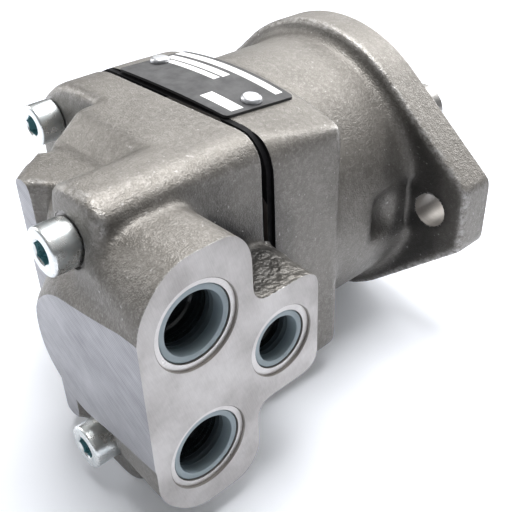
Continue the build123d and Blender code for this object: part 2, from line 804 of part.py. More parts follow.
# ---- Pistons: ball end in the drive flange, tapered rod, round head with one ring in its bore
for index in range(piston_count):
    turn = 2 * pi / piston_count * index
    ball = bend + Vector(cos(turn), 0, sin(turn)) * ball_circle_radius
    lean = barrel_across * (head_swing * cos(turn)) - Vector(0, 0, head_swing * sin(turn))
    head = ball + barrel_along * sqrt(piston_length**2 - head_swing**2) + lean
    rod_axis = Axis(ball, head - ball)
    side = (head - ball).cross(Vector(0, 0, 1)).normalized()
    rod_plane = Plane(origin=ball, x_dir=side, z_dir=side.cross((head - ball).normalized()))
    neck_start = sqrt(piston_ball_radius**2 - piston_neck_radius**2)
    head_back = piston_length - piston_head_half_length
    head_edge = sqrt(piston_head_radius**2 - piston_head_half_length**2)
    groove = ring_width / 2 + ring_side_clearance

    with BuildPart() as piston:
        with BuildSketch(rod_plane):
            with BuildLine():
                Line((0, -piston_ball_radius), (0, piston_length + piston_head_half_length))
                Line((0, piston_length + piston_head_half_length), (head_edge, piston_length + piston_head_half_length))
                ThreePointArc(
                    (head_edge, piston_length + piston_head_half_length),
                    (piston_head_radius, piston_length),
                    (head_edge, head_back),
                )
                Polyline((head_edge, head_back), (piston_waist_radius, head_back), (piston_neck_radius, neck_start))
                ThreePointArc(
                    (piston_neck_radius, neck_start),
                    (piston_ball_radius, 0),
                    (0, -piston_ball_radius),
                )
            make_face()
        revolve(axis=rod_axis)
        with BuildSketch(rod_plane):
            Polygon(
                (piston_head_radius - ring_depth, piston_length - groove),
                (bore_radius, piston_length - groove),
                (bore_radius, piston_length + groove),
                (piston_head_radius - ring_depth, piston_length + groove),
                align=None,
            )
        revolve(axis=rod_axis, mode=Mode.SUBTRACT)
    piston.part.label = f"piston_{index + 1}"
    export_step(piston.part, f"parts/piston_{index + 1}.step")

    ring_inner = piston_head_radius - ring_depth + ring_side_clearance
    ring_outer = bore_radius - fit_clearance
    ring_edge = sqrt(ring_outer**2 - (ring_width / 2) ** 2)
    with BuildPart() as piston_ring:
        with BuildSketch(rod_plane):
            with BuildLine():
                Polyline(
                    (ring_edge, piston_length - ring_width / 2),
                    (ring_inner, piston_length - ring_width / 2),
                    (ring_inner, piston_length + ring_width / 2),
                    (ring_edge, piston_length + ring_width / 2),
                )
                ThreePointArc(
                    (ring_edge, piston_length + ring_width / 2),
                    (ring_outer, piston_length),
                    (ring_edge, piston_length - ring_width / 2),
                )
            make_face()
        revolve(axis=rod_axis)
    piston_ring.part.label = f"piston_ring_{index + 1}"
    export_step(piston_ring.part, f"parts/piston_ring_{index + 1}.step")

    with BuildPart() as ball_seat:
        with BuildSketch(Plane(origin=ball, x_dir=(1, 0, 0), z_dir=(0, 1, 0))):
            Circle(ball_seat_radius)
        extrude(amount=ball_seat_depth)
        with Locations(ball):
            Sphere(piston_ball_radius + running_clearance, mode=Mode.SUBTRACT)
    ball_seat.part.label = f"ball_seat_{index + 1}"
    export_step(ball_seat.part, f"parts/ball_seat_{index + 1}.step")


# ---- Timing gears: two equal bevel gears whose pitch cones meet at the bend point
pitch_cone = radians(90 - bend_angle / 2)
pitch_radius = gear_cone_outer * sin(pitch_cone)
tooth_half_width = (pi * pitch_radius / gear_teeth - gear_backlash) / 2
flank_lean = tan(radians(gear_flank_angle))


def cone_point(distance, offset):
    """Radius and height of a point on the pitch cone line, moved square to it towards the root."""
    return (
        distance * sin(pitch_cone) - offset * cos(pitch_cone),
        distance * cos(pitch_cone) + offset * sin(pitch_cone),
    )


def timing_gear(hub_front, hub_back, first_tooth):
    """Bevel gear about Z with its pitch cone's tip at the origin. It opens away from the tip."""
    with BuildPart() as tooth:
        for distance in (gear_cone_outer, gear_cone_inner):
            scale_here = distance / gear_cone_outer
            foot = gear_dedendum + gear_tooth_root_overlap
            radius, height = cone_point(distance, 0)
            normal = Vector(sin(pitch_cone), 0, cos(pitch_cone))
            with BuildSketch(Plane(origin=(radius, 0, height), x_dir=(0, -1, 0), z_dir=normal)):
                Polygon(
                    (-(tooth_half_width + foot * flank_lean) * scale_here, -foot * scale_here),
                    ((tooth_half_width + foot * flank_lean) * scale_here, -foot * scale_here),
                    ((tooth_half_width - gear_addendum * flank_lean) * scale_here, gear_addendum * scale_here),
                    (-(tooth_half_width - gear_addendum * flank_lean) * scale_here, gear_addendum * scale_here),
                    align=None,
                )
        loft(ruled=True)
    root_inner = cone_point(gear_cone_inner, gear_dedendum * gear_cone_inner / gear_cone_outer)
    root_outer = cone_point(gear_cone_outer, gear_dedendum)
    with BuildPart() as gear:
        with BuildSketch(Plane.XZ):
            Polygon(
                root_inner,
                root_outer,
                (root_outer[0], gear_rim_back),
                (gear_hub_radius, hub_back),
                (gear_bore_radius + fit_clearance, hub_back),
                (gear_bore_radius + fit_clearance, hub_front),
                align=None,
            )
        revolve(axis=Axis.Z)
        for number in range(gear_teeth):
            add(tooth.part.rotate(Axis.Z, first_tooth + 360 / gear_teeth * number))
    return gear.part


shaft_gear_frame = Plane(origin=bend, x_dir=(1, 0, 0), z_dir=(0, 1, 0))
shaft_timing_gear = timing_gear(shaft_gear_hub_front, drive_flange_length, 0).moved(shaft_gear_frame.location)
shaft_timing_gear.label = "shaft_timing_gear"
export_step(shaft_timing_gear, "parts/shaft_timing_gear.step")

barrel_gear_frame = Plane(origin=bend, x_dir=barrel_across, z_dir=barrel_along)
barrel_timing_gear = timing_gear(barrel_gear_hub_front, barrel_gear_hub_end, 180 / gear_teeth)
barrel_timing_gear = barrel_timing_gear.moved(barrel_gear_frame.location)
barrel_timing_gear.label = "barrel_timing_gear"
export_step(barrel_timing_gear, "parts/barrel_timing_gear.step")

# ---- Output shaft in one piece with its drive flange, keyway and centre thread
with BuildPart() as output_shaft:
    with BuildSketch(shaft_section):
        Polygon(
            (0, -bend_to_flange),
            (drive_flange_radius, -bend_to_flange),
            (drive_flange_radius, -bend_to_flange + drive_flange_step),
            (gear_bore_radius, -bend_to_flange + drive_flange_step),
            (gear_bore_radius, drive_flange_back),
            (shaft_shoulder_radius, drive_flange_back),
            (shaft_shoulder_radius, rear_bearing_back),
            (rear_journal_radius, rear_bearing_back),
            (rear_journal_radius, rear_bearing_front + bearing_rib_length / 2),
            (front_journal_radius, rear_bearing_front + bearing_rib_length / 2),
            (front_journal_radius, nut_front + 1),
            (seal_journal_radius, nut_front + 1),
            (seal_journal_radius, output_start),
            (output_radius, output_start),
            (output_radius, output_length - output_chamfer),
            (output_radius - output_chamfer, output_length),
            (0, output_length),
            align=None,
        )
    revolve(axis=Axis.Y)
    with BuildSketch(Plane(origin=bend, x_dir=(1, 0, 0), z_dir=(0, 1, 0))):
        with PolarLocations(ball_circle_radius, piston_count):
            Circle(ball_seat_radius + running_clearance)
    extrude(amount=ball_seat_depth + running_clearance, mode=Mode.SUBTRACT)
    with Locations(bend):
        Sphere(pin_ball_radius + running_clearance, mode=Mode.SUBTRACT)
    with BuildSketch(Plane.XY.offset(output_radius - key_slot_depth)):
        with Locations((0, key_start + key_length / 2)):
            SlotOverall(key_length + 2 * fit_clearance, key_width + 2 * fit_clearance, rotation=90)
    extrude(amount=key_height, mode=Mode.SUBTRACT)
    with BuildSketch(across(output_length)):
        Circle(shaft_thread_radius)
    extrude(amount=shaft_thread_depth, mode=Mode.SUBTRACT)
output_shaft.part.label = "output_shaft"
export_step(output_shaft.part, "parts/output_shaft.step")

with BuildPart() as shaft_key:
    with BuildSketch(Plane.XY.offset(output_radius - key_slot_depth)):
        with Locations((0, key_start + key_length / 2)):
            SlotOverall(key_length, key_width, rotation=90)
    extrude(amount=key_height)
    chamfer(shaft_key.faces().sort_by(Axis.Z)[-1].edges(), 0.3)
shaft_key.part.label = "shaft_key"
export_step(shaft_key.part, "parts/shaft_key.step")


# ---- Taper roller bearings: outer ring, inner ring, caged rollers
def taper_bearing(prefix, back, front, bore, outer, roller_radius, roller_length, count, large_end):
    """Rings, cage and rollers between two faces. large_end is -1 or 1, the way the rollers grow along Y."""
    middle_radius = (bore + outer) / 2
    middle = (back + front) / 2
    lean = radians(roller_tilt)
    apex = middle_radius / tan(lean)
    taper = atan(roller_radius * cos(lean) / apex)

    def race(angle, along):
        return (apex + along) * tan(angle)

    def place(radius, along):
        return (radius, middle + large_end * along)

    half = (front - back) / 2
    reach = roller_length / 2 * cos(lean)
    race_in = lean - taper
    race_out = lean + taper
    gap = roller_clearance

    with BuildPart() as outer_ring:
        with BuildSketch(shaft_section):
            Polygon(
                place(outer - fit_clearance, -half),
                place(race(race_out, -half) + gap, -half),
                place(race(race_out, half - 1) + gap, half - 1),
                place(outer - fit_clearance, half - 1),
                align=None,
            )
        revolve(axis=Axis.Y)
    outer_ring.part.label = f"{prefix}_bearing_outer_ring"
    export_step(outer_ring.part, f"parts/{prefix}_bearing_outer_ring.step")

    with BuildPart() as inner_ring:
        with BuildSketch(shaft_section):
            Polygon(
                place(bore + fit_clearance, -half + 0.5),
                place(race(race_in, -half + 0.5) + 0.6, -half + 0.5),
                place(race(race_in, -reach - 0.5) + 0.6, -reach - 0.5),
                place(race(race_in, -reach - 0.5) - gap, -reach - 0.5),
                place(race(race_in, reach + 0.7) - gap, reach + 0.7),
                place(race(race_in, reach + 0.7) + 1.2, reach + 0.7),
                place(race(race_in, half) + 1.2, half),
                place(bore + fit_clearance, half),
                align=None,
            )
        revolve(axis=Axis.Y)
    inner_ring.part.label = f"{prefix}_bearing_inner_ring"
    export_step(inner_ring.part, f"parts/{prefix}_bearing_inner_ring.step")

    roller_middle = Vector(middle_radius, middle, 0)
    roller_dir = Vector(sin(lean), large_end * cos(lean), 0)
    slope = tan(taper)

    def roller_solid(grow, stretch):
        """One tapered roller in the plane Z = 0, grown and stretched by clearances."""
        ends = (roller_length / 2 + stretch, -roller_length / 2 - stretch)
        with BuildPart() as roller:
            for end in ends:
                with BuildSketch(Plane(origin=roller_middle + roller_dir * end, z_dir=roller_dir)):
                    Circle(roller_radius + slope * end + grow)
            loft(ruled=True)
        return roller.part

    with BuildPart() as rollers:
        for number in range(count):
            add(roller_solid(0, 0).rotate(Axis.Y, 360 / count * number))
    rollers.part.label = f"{prefix}_bearing_rollers"
    export_step(rollers.part, f"parts/{prefix}_bearing_rollers.step")

    band = reach + 1.2
    with BuildPart() as cage:
        with BuildSketch(shaft_section):
            Polygon(
                place(race(lean, -band) - cage_thickness / 2, -band),
                place(race(lean, -band) + cage_thickness / 2, -band),
                place(race(lean, band) + cage_thickness / 2, band),
                place(race(lean, band) - cage_thickness / 2, band),
                align=None,
            )
        revolve(axis=Axis.Y)
        for number in range(count):
            window = roller_solid(cage_window_clearance, cage_window_clearance)
            add(window.rotate(Axis.Y, 360 / count * number), mode=Mode.SUBTRACT)
    cage.part.label = f"{prefix}_bearing_cage"
    export_step(cage.part, f"parts/{prefix}_bearing_cage.step")


taper_bearing(
    "rear",
    rear_bearing_back,
    rear_bearing_front,
    rear_journal_radius,
    rear_bearing_outer_radius,
    rear_roller_radius,
    rear_roller_length,
    rear_roller_count,
    -1,
)
taper_bearing(
    "front",
    front_bearing_back,
    front_bearing_front,
    front_journal_radius,
    front_bearing_outer_radius,
    front_roller_radius,
    front_roller_length,
    front_roller_count,
    1,
)

# ---- Bearing nut with four wrench slots
with BuildPart() as bearing_nut:
    with BuildSketch(across(front_bearing_front)):
        Circle(nut_radius)
        Circle(front_journal_radius + thread_clearance, mode=Mode.SUBTRACT)
        with PolarLocations(nut_radius, 4):
            Rectangle(2 * nut_slot_depth, nut_slot_width, mode=Mode.SUBTRACT)
    extrude(amount=-nut_length)
bearing_nut.part.label = "bearing_nut"
export_step(bearing_nut.part, "parts/bearing_nut.step")

# ---- Seal carrier with its O-ring, the shaft seal and the retaining ring in front
o_ring_middle = carrier_back + carrier_length / 2
o_ring_groove_floor = carrier_radius - 2 * o_ring_radius
with BuildPart() as seal_carrier:
    with BuildSketch(shaft_section):
        Polygon(
            (carrier_radius - fit_clearance, carrier_back),
            (carrier_radius - fit_clearance, carrier_front),
            (seal_outer_radius + fit_clearance, carrier_front),
            (seal_outer_radius + fit_clearance, seal_back),
            (carrier_lip_radius, seal_back),
            (carrier_lip_radius, nut_front + 1),
            (nut_radius + 1.5, nut_front + 1),
            (nut_radius + 1.5, carrier_back),
            align=None,
        )
        with Locations((carrier_radius, o_ring_middle)):
            Rectangle(4 * o_ring_radius, 2.6 * o_ring_radius, mode=Mode.SUBTRACT)
    revolve(axis=Axis.Y)
seal_carrier.part.label = "seal_carrier"
export_step(seal_carrier.part, "parts/seal_carrier.step")

with BuildPart() as carrier_o_ring:
    with BuildSketch(shaft_section):
        with Locations((o_ring_groove_floor + o_ring_radius - o_ring_squeeze / 2, o_ring_middle)):
            Circle(o_ring_radius - o_ring_squeeze)
    revolve(axis=Axis.Y)
carrier_o_ring.part.label = "carrier_o_ring"
export_step(carrier_o_ring.part, "parts/carrier_o_ring.step")

with BuildPart() as shaft_seal:
    with BuildSketch(shaft_section):
        Polygon(
            (seal_outer_radius, seal_back),
            (seal_outer_radius, carrier_front),
            (seal_journal_radius + 1, carrier_front),
            (seal_journal_radius + 1, carrier_front - seal_case_wall),
            (seal_journal_radius + 2.6, carrier_front - seal_case_wall - 0.6),
            (seal_journal_radius + running_clearance, seal_back + seal_width / 2),
            (seal_journal_radius + 1.4, seal_back + 0.6),
            (seal_journal_radius + 3.4, seal_back + 1),
            (seal_journal_radius + 3.8, carrier_front - 2 * seal_case_wall - 0.4),
            (seal_outer_radius - seal_case_wall, carrier_front - 2 * seal_case_wall),
            (seal_outer_radius - seal_case_wall, seal_back),
            align=None,
        )
    revolve(axis=Axis.Y)
shaft_seal.part.label = "shaft_seal"
export_step(shaft_seal.part, "parts/shaft_seal.step")

with BuildPart() as retaining_ring:
    with BuildSketch(across(carrier_front)):
        Circle(carrier_radius + clip_groove_depth - running_clearance)
        Circle(carrier_radius + clip_groove_depth - clip_radial_width, mode=Mode.SUBTRACT)
        Polygon(
            (0, 0),
            (-clip_gap_far, -2 * carrier_radius),
            (clip_gap_far, -2 * carrier_radius),
            align=None,
            mode=Mode.SUBTRACT,
        )
        for side in (-1, 1):
            with Locations((side * clip_lug_x, -clip_lug_z)):
                Circle(clip_lug_radius)
                Circle(clip_hole_radius, mode=Mode.SUBTRACT)
    extrude(amount=-clip_thickness + fit_clearance)
retaining_ring.part.label = "retaining_ring"
export_step(retaining_ring.part, "parts/retaining_ring.step")
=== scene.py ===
# %% [markdown]
# # A bent-axis hydraulic motor
# The motor is two iron castings bolted together: a bearing housing with a round mounting flange, and
# an end cap that leans with the barrel and carries the ports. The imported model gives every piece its
# place. This file gives each piece its finish, and rounds the castings the way a foundry leaves them.

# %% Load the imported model
import json
import math

import bmesh
import bpy
import numpy as np
from mathutils import Matrix, Vector
from mathutils.bvhtree import BVHTree


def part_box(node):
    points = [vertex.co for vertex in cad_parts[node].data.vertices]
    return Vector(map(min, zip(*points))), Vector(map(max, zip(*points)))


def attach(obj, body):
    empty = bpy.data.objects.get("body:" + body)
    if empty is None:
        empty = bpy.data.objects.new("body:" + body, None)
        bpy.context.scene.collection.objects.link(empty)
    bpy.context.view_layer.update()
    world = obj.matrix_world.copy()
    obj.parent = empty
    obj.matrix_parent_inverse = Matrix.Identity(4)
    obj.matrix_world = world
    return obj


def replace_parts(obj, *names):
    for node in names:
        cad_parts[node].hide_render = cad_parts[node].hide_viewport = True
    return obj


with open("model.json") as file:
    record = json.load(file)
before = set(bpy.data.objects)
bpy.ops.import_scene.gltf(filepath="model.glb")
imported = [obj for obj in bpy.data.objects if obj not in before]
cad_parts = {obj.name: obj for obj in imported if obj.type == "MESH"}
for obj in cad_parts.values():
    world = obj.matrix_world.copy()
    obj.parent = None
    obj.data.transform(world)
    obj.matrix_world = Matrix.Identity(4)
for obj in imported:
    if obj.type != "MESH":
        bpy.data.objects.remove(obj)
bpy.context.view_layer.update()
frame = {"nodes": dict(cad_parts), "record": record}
nodes = frame["nodes"]
MM = 0.001
print("pieces in the frame:", len(nodes))

# %% [markdown]
# ## The view
# The motor is seen from behind its ports and from above. A moderate lens keeps the lines of the ports
# and of the flange nearly parallel, so that near and far pieces can be compared.


# %% Camera
def add_object(name, data):
    """Object for a mesh, a lamp or a camera, linked to the scene."""
    thing = bpy.data.objects.new(name, data)
    bpy.context.collection.objects.link(thing)
    return thing


def looking(place, target):
    """Placement at one point that looks at another, for a camera or a lamp."""
    aim = (Vector(target) - Vector(place)).to_track_quat("-Z", "Y")
    return Matrix.Translation(Vector(place)) @ aim.to_matrix().to_4x4()


view_from = Vector((176.3, -196.8, 129.6)) * MM
view_to = Vector((20.8, -60.3, -10.65)) * MM
view_roll = math.radians(-2.15)
camera_data = bpy.data.cameras.new("camera")
camera_data.lens = 53.62
camera_data.sensor_width = 36
camera_data.clip_start = 0.01
camera = add_object("camera", camera_data)
camera.matrix_world = looking(view_from, view_to) @ Matrix.Rotation(view_roll, 4, "Z")
bpy.context.scene.camera = camera
bpy.context.scene.view_settings.view_transform = "Standard"
print("camera looks from", [round(v, 3) for v in view_from])

# %% [markdown]
# ## The stage
# The motor rests on the lower edge of its flange and on the back of its end cap, so the ground leans
# against the shaft by about two degrees. The ground is one sheet of pale paper. It glows, most where the
# lamps don't reach it, so it stays white up to the horizon and keeps the motor's shadow, and from below
# it can be looked through. The camera, reflections and clear plastic see that glow and a bright sky. The
# dull part of every surface is lit by the lamps alone, so the castings keep their own colour.


# %% Helpers for materials and groups
def feed(tree, socket, value):
    """Set a socket to a number, a colour or a vector, or link another node's output to it."""
    if isinstance(value, bpy.types.NodeSocket):
        tree.links.new(value, socket)
    else:
        socket.default_value = value


def new_material(name):
    """Material with its node tree and its object coordinates."""
    material = bpy.data.materials.new(name)
    material.use_nodes = True
    tree = material.node_tree
    print("material", name)
    return material, tree, tree.nodes.new("ShaderNodeTexCoord").outputs["Object"]


def shade(tree, looks):
    """Feed the sockets of a material's Principled shader, each by its name."""
    shader = tree.nodes["Principled BSDF"]
    for name, value in looks.items():
        feed(tree, shader.inputs[name], value)


def new_group(name, inputs, outputs):
    """Empty shader node group that reads Places, with named inputs, and numbers for outputs."""
    group = bpy.data.node_groups.new(name, "ShaderNodeTree")
    for label, value in {"Places": (0, 0, 0), **inputs}.items():
        kind = "NodeSocketVector" if isinstance(value, tuple) else "NodeSocketFloat"
        group.interface.new_socket(label, in_out="INPUT", socket_type=kind).default_value = value
    for label in outputs:
        group.interface.new_socket(label, in_out="OUTPUT", socket_type="NodeSocketFloat")
    print("group", name, "gives", ", ".join(outputs))
    return group, group.nodes.new("NodeGroupInput").outputs, group.nodes.new("NodeGroupOutput").inputs


def placed(tree, group, places, **values):
    """Outputs of a shader node group that is put in a tree with places and its own values."""
    node = tree.nodes.new("ShaderNodeGroup")
    node.node_tree = group
    tree.links.new(places, node.inputs["Places"])
    for name, value in values.items():
        feed(tree, node.inputs[name.replace("_", " ").capitalize()], value)
    return node.outputs


# %% Helpers for numbers and vectors
def maths(tree, operation, first, second=0.0):
    """One Math node; each input is a number or a socket."""
    node = tree.nodes.new("ShaderNodeMath")
    node.operation = operation
    feed(tree, node.inputs[0], first)
    feed(tree, node.inputs[1], second)
    return node.outputs[0]


def vector_maths(tree, operation, first, second=None):
    """One Vector Math node; its second input is a vector, or a number for SCALE."""
    node = tree.nodes.new("ShaderNodeVectorMath")
    node.operation = operation
    feed(tree, node.inputs[0], first)
    if second is not None:
        feed(tree, node.inputs["Scale" if operation == "SCALE" else 1], second)
    return node.outputs["Value" if operation in ("DOT_PRODUCT", "LENGTH") else "Vector"]


def apart(tree, vector):
    """X, Y and Z of a vector, as three sockets."""
    node = tree.nodes.new("ShaderNodeSeparateXYZ")
    tree.links.new(vector, node.inputs[0])
    return node.outputs


def spread(tree, value, low, high, to_low=0.0, to_high=1.0):
    """Stretch a value between low and high, clamped at both ends."""
    node = tree.nodes.new("ShaderNodeMapRange")
    for socket, number in zip(node.inputs, (value, low, high, to_low, to_high)):
        feed(tree, socket, number)
    return node.outputs["Result"]


# %% Helpers for patterns
def noise(tree, places, scale, detail=2.0, rough=0.5):
    """Noise between 0 and 1, with its scale in patches per metre."""
    node = tree.nodes.new("ShaderNodeTexNoise")
    for name, value in (("Vector", places), ("Scale", scale), ("Detail", detail), ("Roughness", rough)):
        feed(tree, node.inputs[name], value)
    return node.outputs["Fac"]


def blend_colours(tree, mask, first, second):
    """Mix two colours, each a tuple or a socket, by a mask."""
    node = tree.nodes.new("ShaderNodeMix")
    node.data_type = "RGBA"
    tree.links.new(mask, node.inputs["Factor"])
    for socket, colour in zip((node.inputs[6], node.inputs[7]), (first, second)):
        feed(tree, socket, (*colour, 1) if isinstance(colour, tuple) else colour)
    return node.outputs[2]


def bump(tree, height, distance, strength=1.0, normal=None):
    """Bump from a height between 0 and 1, with its depth in metres."""
    node = tree.nodes.new("ShaderNodeBump")
    for name, value in (("Strength", strength), ("Distance", distance), ("Height", height)):
        feed(tree, node.inputs[name], value)
    if normal:
        tree.links.new(normal, node.inputs["Normal"])
    return node.outputs["Normal"]


# %% Ground
housing_low, housing_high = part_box("bearing_housing")
cap_low, cap_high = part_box("end_cap")
flange_thickness = 12.5 * MM
cap_rests_at = 6 * MM
paper_size, paper_gap = 3.0, 0.2 * MM
ground_front = Vector((0, -flange_thickness, housing_low.z))
ground_back = Vector((0, cap_low.y + cap_rests_at, cap_low.z))
lean = (ground_front - ground_back).normalized() * paper_size
across = Vector((paper_size, 0, 0))
middle = (ground_front + ground_back) / 2 - Vector((0, 0, paper_gap))
corners = [middle + lean * a + across * b for a, b in ((-1, -1), (-1, 1), (1, 1), (1, -1))]
sheet = bpy.data.meshes.new("ground")
sheet.from_pydata([tuple(corner) for corner in corners], [], [(0, 1, 2, 3)])
paper, tree, places = new_material("paper")
ray = tree.nodes.new("ShaderNodeLightPath").outputs
seen = maths(tree, "MAXIMUM", ray["Is Camera Ray"], ray["Is Transmission Ray"])
seen = maths(tree, "MAXIMUM", seen, ray["Is Glossy Ray"])
glow_starts, glow_full, least_glow = 0.22, 1.1, 0.17
glow = spread(tree, vector_maths(tree, "LENGTH", places), glow_starts, glow_full, least_glow, 1.0)
under = tree.nodes.new("ShaderNodeNewGeometry").outputs["Backfacing"]
shade(tree, {
    "Base Color": (0.85, 0.87, 0.92, 1),
    "Roughness": 0.9,
    "Specular IOR Level": 0.1,
    "Emission Color": (0.92, 0.95, 1, 1),
    "Emission Strength": maths(tree, "MULTIPLY", seen, glow),
    "Alpha": maths(tree, "SUBTRACT", 1.0, under),
})
sheet.materials.append(paper)
add_object("ground", sheet)
print("ground", 2 * paper_size, "m wide")

# %% World and lamps
world = bpy.data.worlds.new("studio")
world.use_nodes = True
bpy.context.scene.world = world
tree = world.node_tree
ray = tree.nodes.new("ShaderNodeLightPath").outputs
seen = maths(tree, "MAXIMUM", ray["Is Camera Ray"], ray["Is Transmission Ray"])
upwards = apart(tree, tree.nodes.new("ShaderNodeTexCoord").outputs["Generated"])["Z"]
sky = maths(tree, "MULTIPLY", ray["Is Glossy Ray"], spread(tree, upwards, 0.1, 0.9, 0.06, 0.7))
background = tree.nodes["Background"].inputs
feed(tree, background["Color"], (1, 1, 1, 1))
feed(tree, background["Strength"], maths(tree, "MAXIMUM", sky, seen))

lamp_aim, lamp_size = Vector((20, -70, 0)) * MM, 0.40
lamps = {
    "top_box": ((0, 0, 0.65), 5.5),
    "top_back_box": ((0, 0.45, 0.50), 2.2),
    "low_back_box": ((0, 0.80, 0.25), 3.3),
    "back_left_box": ((-0.45, 0.35, 0.45), 1.5),
    "back_right_box": ((0.45, 0.35, 0.50), 0.25),
    "left_box": ((-0.66, -0.34, 0.30), 2.3),
}
for name, (place, power) in lamps.items():
    lamp = bpy.data.lights.new(name, "AREA")
    lamp.size = lamp_size
    lamp.energy = power
    add_object(name, lamp).matrix_world = looking(place, lamp_aim)
print("soft boxes:", ", ".join(lamps))

# %% [markdown]
# ## Raw iron
# The castings are shot-blasted: the skin is warm grey, and every grain is a tiny facet of its own. Two
# noises of different size make the grain, and a slow one darkens patches. Handling wears the corners
# bright first, so each casting stores how far its corners stand out, and the group breaks that up
# and adds a few nicks. In creases, and where little sky reaches the skin, as behind the flange, the colour
# is painted darker: painted shade.

# %% Cast grain group
group, given, wanted = new_group(
    "cast_grain", {"Grain size": 0.7 * MM, "Patch size": 18 * MM}, ("Fleck", "Patch", "Height")
)
fine_scale = maths(group, "DIVIDE", 1.0, given["Grain size"])
grain = noise(group, given["Places"], fine_scale, 2.0, 0.6)
coarse = noise(group, given["Places"], maths(group, "MULTIPLY", fine_scale, 0.35), 2.0)
patches = noise(group, given["Places"], maths(group, "DIVIDE", 1.0, given["Patch size"]), 3.0, 0.6)
height = maths(group, "ADD", maths(group, "MULTIPLY", grain, 0.55), maths(group, "MULTIPLY", coarse, 0.45))
feed(group, wanted["Fleck"], spread(group, height, 0.45, 0.68))
feed(group, wanted["Patch"], spread(group, patches, 0.36, 0.66))
feed(group, wanted["Height"], height)
cast_grain = group

# %% Corner wear and painted shade group
group, given, wanted = new_group(
    "wear_and_painted_shade", {"Corner": 0.0, "Shelter": 0.0, "Scuff size": 2 * MM}, ("Worn", "Painted shade")
)
scuffs = noise(group, given["Places"], maths(group, "DIVIDE", 1.0, given["Scuff size"]), 5.0, 0.7)
stands_out = spread(group, given["Corner"], 0.04, 0.26)
reached = maths(group, "MULTIPLY", stands_out, spread(group, scuffs, 0.40, 0.60))
nicks = noise(group, given["Places"], maths(group, "DIVIDE", 1.8, given["Scuff size"]), 1.0, 0.4)
nicks = spread(group, nicks, 0.71, 0.79, 0.0, 0.55)
feed(group, wanted["Worn"], maths(group, "MAXIMUM", reached, nicks))
# Painted shade: the colour is darkened in creases and where the sky is covered.
crease_shade = spread(group, given["Corner"], -0.03, -0.22, 0.0, 0.5)
hollow_shade = spread(group, given["Shelter"], 0.08, 0.42, 0.0, 0.95)
feed(group, wanted["Painted shade"], maths(group, "MAXIMUM", crease_shade, hollow_shade))
wear_and_painted_shade = group

# %% [markdown]
# Beside the joint, just before the port face, the skin is coarse: sand broke away from the mould there
# and left lumps. The group gives lumps only in that patch.

# %% Rough patch group
group, given, wanted = new_group("rough_patch", {}, ("Lumps",))
place = apart(group, given["Places"])
near_ports = spread(group, place["X"], 46 * MM, 51 * MM)
before_seam = spread(group, place["Y"], -106 * MM, -101 * MM)
near_seam = maths(group, "MULTIPLY", before_seam, spread(group, place["Y"], -80 * MM, -82 * MM))
lumps = spread(group, noise(group, given["Places"], 1 / (3 * MM), 2.0, 0.5), 0.3, 0.75)
patch = maths(group, "MULTIPLY", near_ports, near_seam)
feed(group, wanted["Lumps"], maths(group, "MULTIPLY", lumps, patch))
rough_patch = group


# %% Cast iron
def stored(tree, name):
    """What a mesh stores at each point or face under a name."""
    node = tree.nodes.new("ShaderNodeAttribute")
    node.attribute_name = name
    return node.outputs["Fac"]


cast_iron, tree, places = new_material("cast_iron")
skin = placed(tree, cast_grain, places, grain_size=0.5 * MM, patch_size=22 * MM)
wear_and_shade = placed(tree, wear_and_painted_shade, places, corner=stored(tree, "corner"), shelter=stored(tree, "shelter"))
colour = blend_colours(tree, skin["Patch"], (0.149, 0.139, 0.125), (0.192, 0.180, 0.163))
colour = blend_colours(tree, skin["Fleck"], colour, (0.265, 0.252, 0.235))
# Painted shade: nearly black where the skin lies in a crease or its sky is covered.
colour = blend_colours(tree, wear_and_shade["Painted shade"], colour, (0.038, 0.037, 0.036))
lumpy = bump(tree, placed(tree, rough_patch, places)["Lumps"], 1.5 * MM, 0.7)
shade(tree, {
    "Base Color": blend_colours(tree, wear_and_shade["Worn"], colour, (0.46, 0.45, 0.44)),
    "Metallic": 0.6,
    "Roughness": spread(tree, wear_and_shade["Worn"], 0.0, 1.0, 0.42, 0.28),
    "Normal": bump(tree, skin["Height"], 0.38 * MM, 0.85, lumpy),
})

# %% [markdown]
# ## Machined faces
# A milling cutter leaves fine parallel lines. The group turns the coordinates to the direction of the
# cut and squeezes a noise along it, so each face only names its own direction, tint and depth.

# %% Milled lines group
group, given, wanted = new_group(
    "milled_lines", {"Direction": (0, 0, 1), "Line pitch": 0.25 * MM}, ("Lines", "Stain")
)
along = vector_maths(group, "DOT_PRODUCT", given["Places"], given["Direction"])
squeeze = vector_maths(group, "SCALE", given["Direction"], maths(group, "MULTIPLY", along, 14.0))
stretched = vector_maths(group, "ADD", given["Places"], squeeze)
lines = noise(group, stretched, maths(group, "DIVIDE", 0.06, given["Line pitch"]), 3.0, 0.65)
cycle = maths(group, "DIVIDE", along, given["Line pitch"])
ripple = maths(group, "SINE", maths(group, "MULTIPLY", cycle, 2 * math.pi))
ripple = maths(group, "MULTIPLY", ripple, 0.22)
feed(group, wanted["Lines"], maths(group, "ADD", ripple, spread(group, lines, 0.3, 0.7, 0.22, 0.78)))
feed(group, wanted["Stain"], noise(group, given["Places"], 70.0, 4.0, 0.6))
milled_lines = group


# %% Milled materials
def milled(name, colour, dark, direction, pitch=0.25 * MM, roughness=0.36, depth=0.012 * MM, stained=0.5):
    """Machined iron face with cutter lines square to a direction, and stains from handling."""
    material, tree, places = new_material(name)
    marks = placed(tree, milled_lines, places, direction=direction, line_pitch=pitch)
    tone = maths(tree, "MULTIPLY", marks["Lines"], 1 - stained)
    tone = maths(tree, "ADD", tone, spread(tree, marks["Stain"], 0.35, 0.65, 0.0, stained))
    shade(tree, {
        "Base Color": blend_colours(tree, tone, dark, colour),
        "Metallic": 0.6,
        "Roughness": spread(tree, marks["Stain"], 0.3, 0.7, roughness + 0.1, roughness - 0.04),
        "Normal": bump(tree, marks["Lines"], depth, 0.6),
    })
    return material


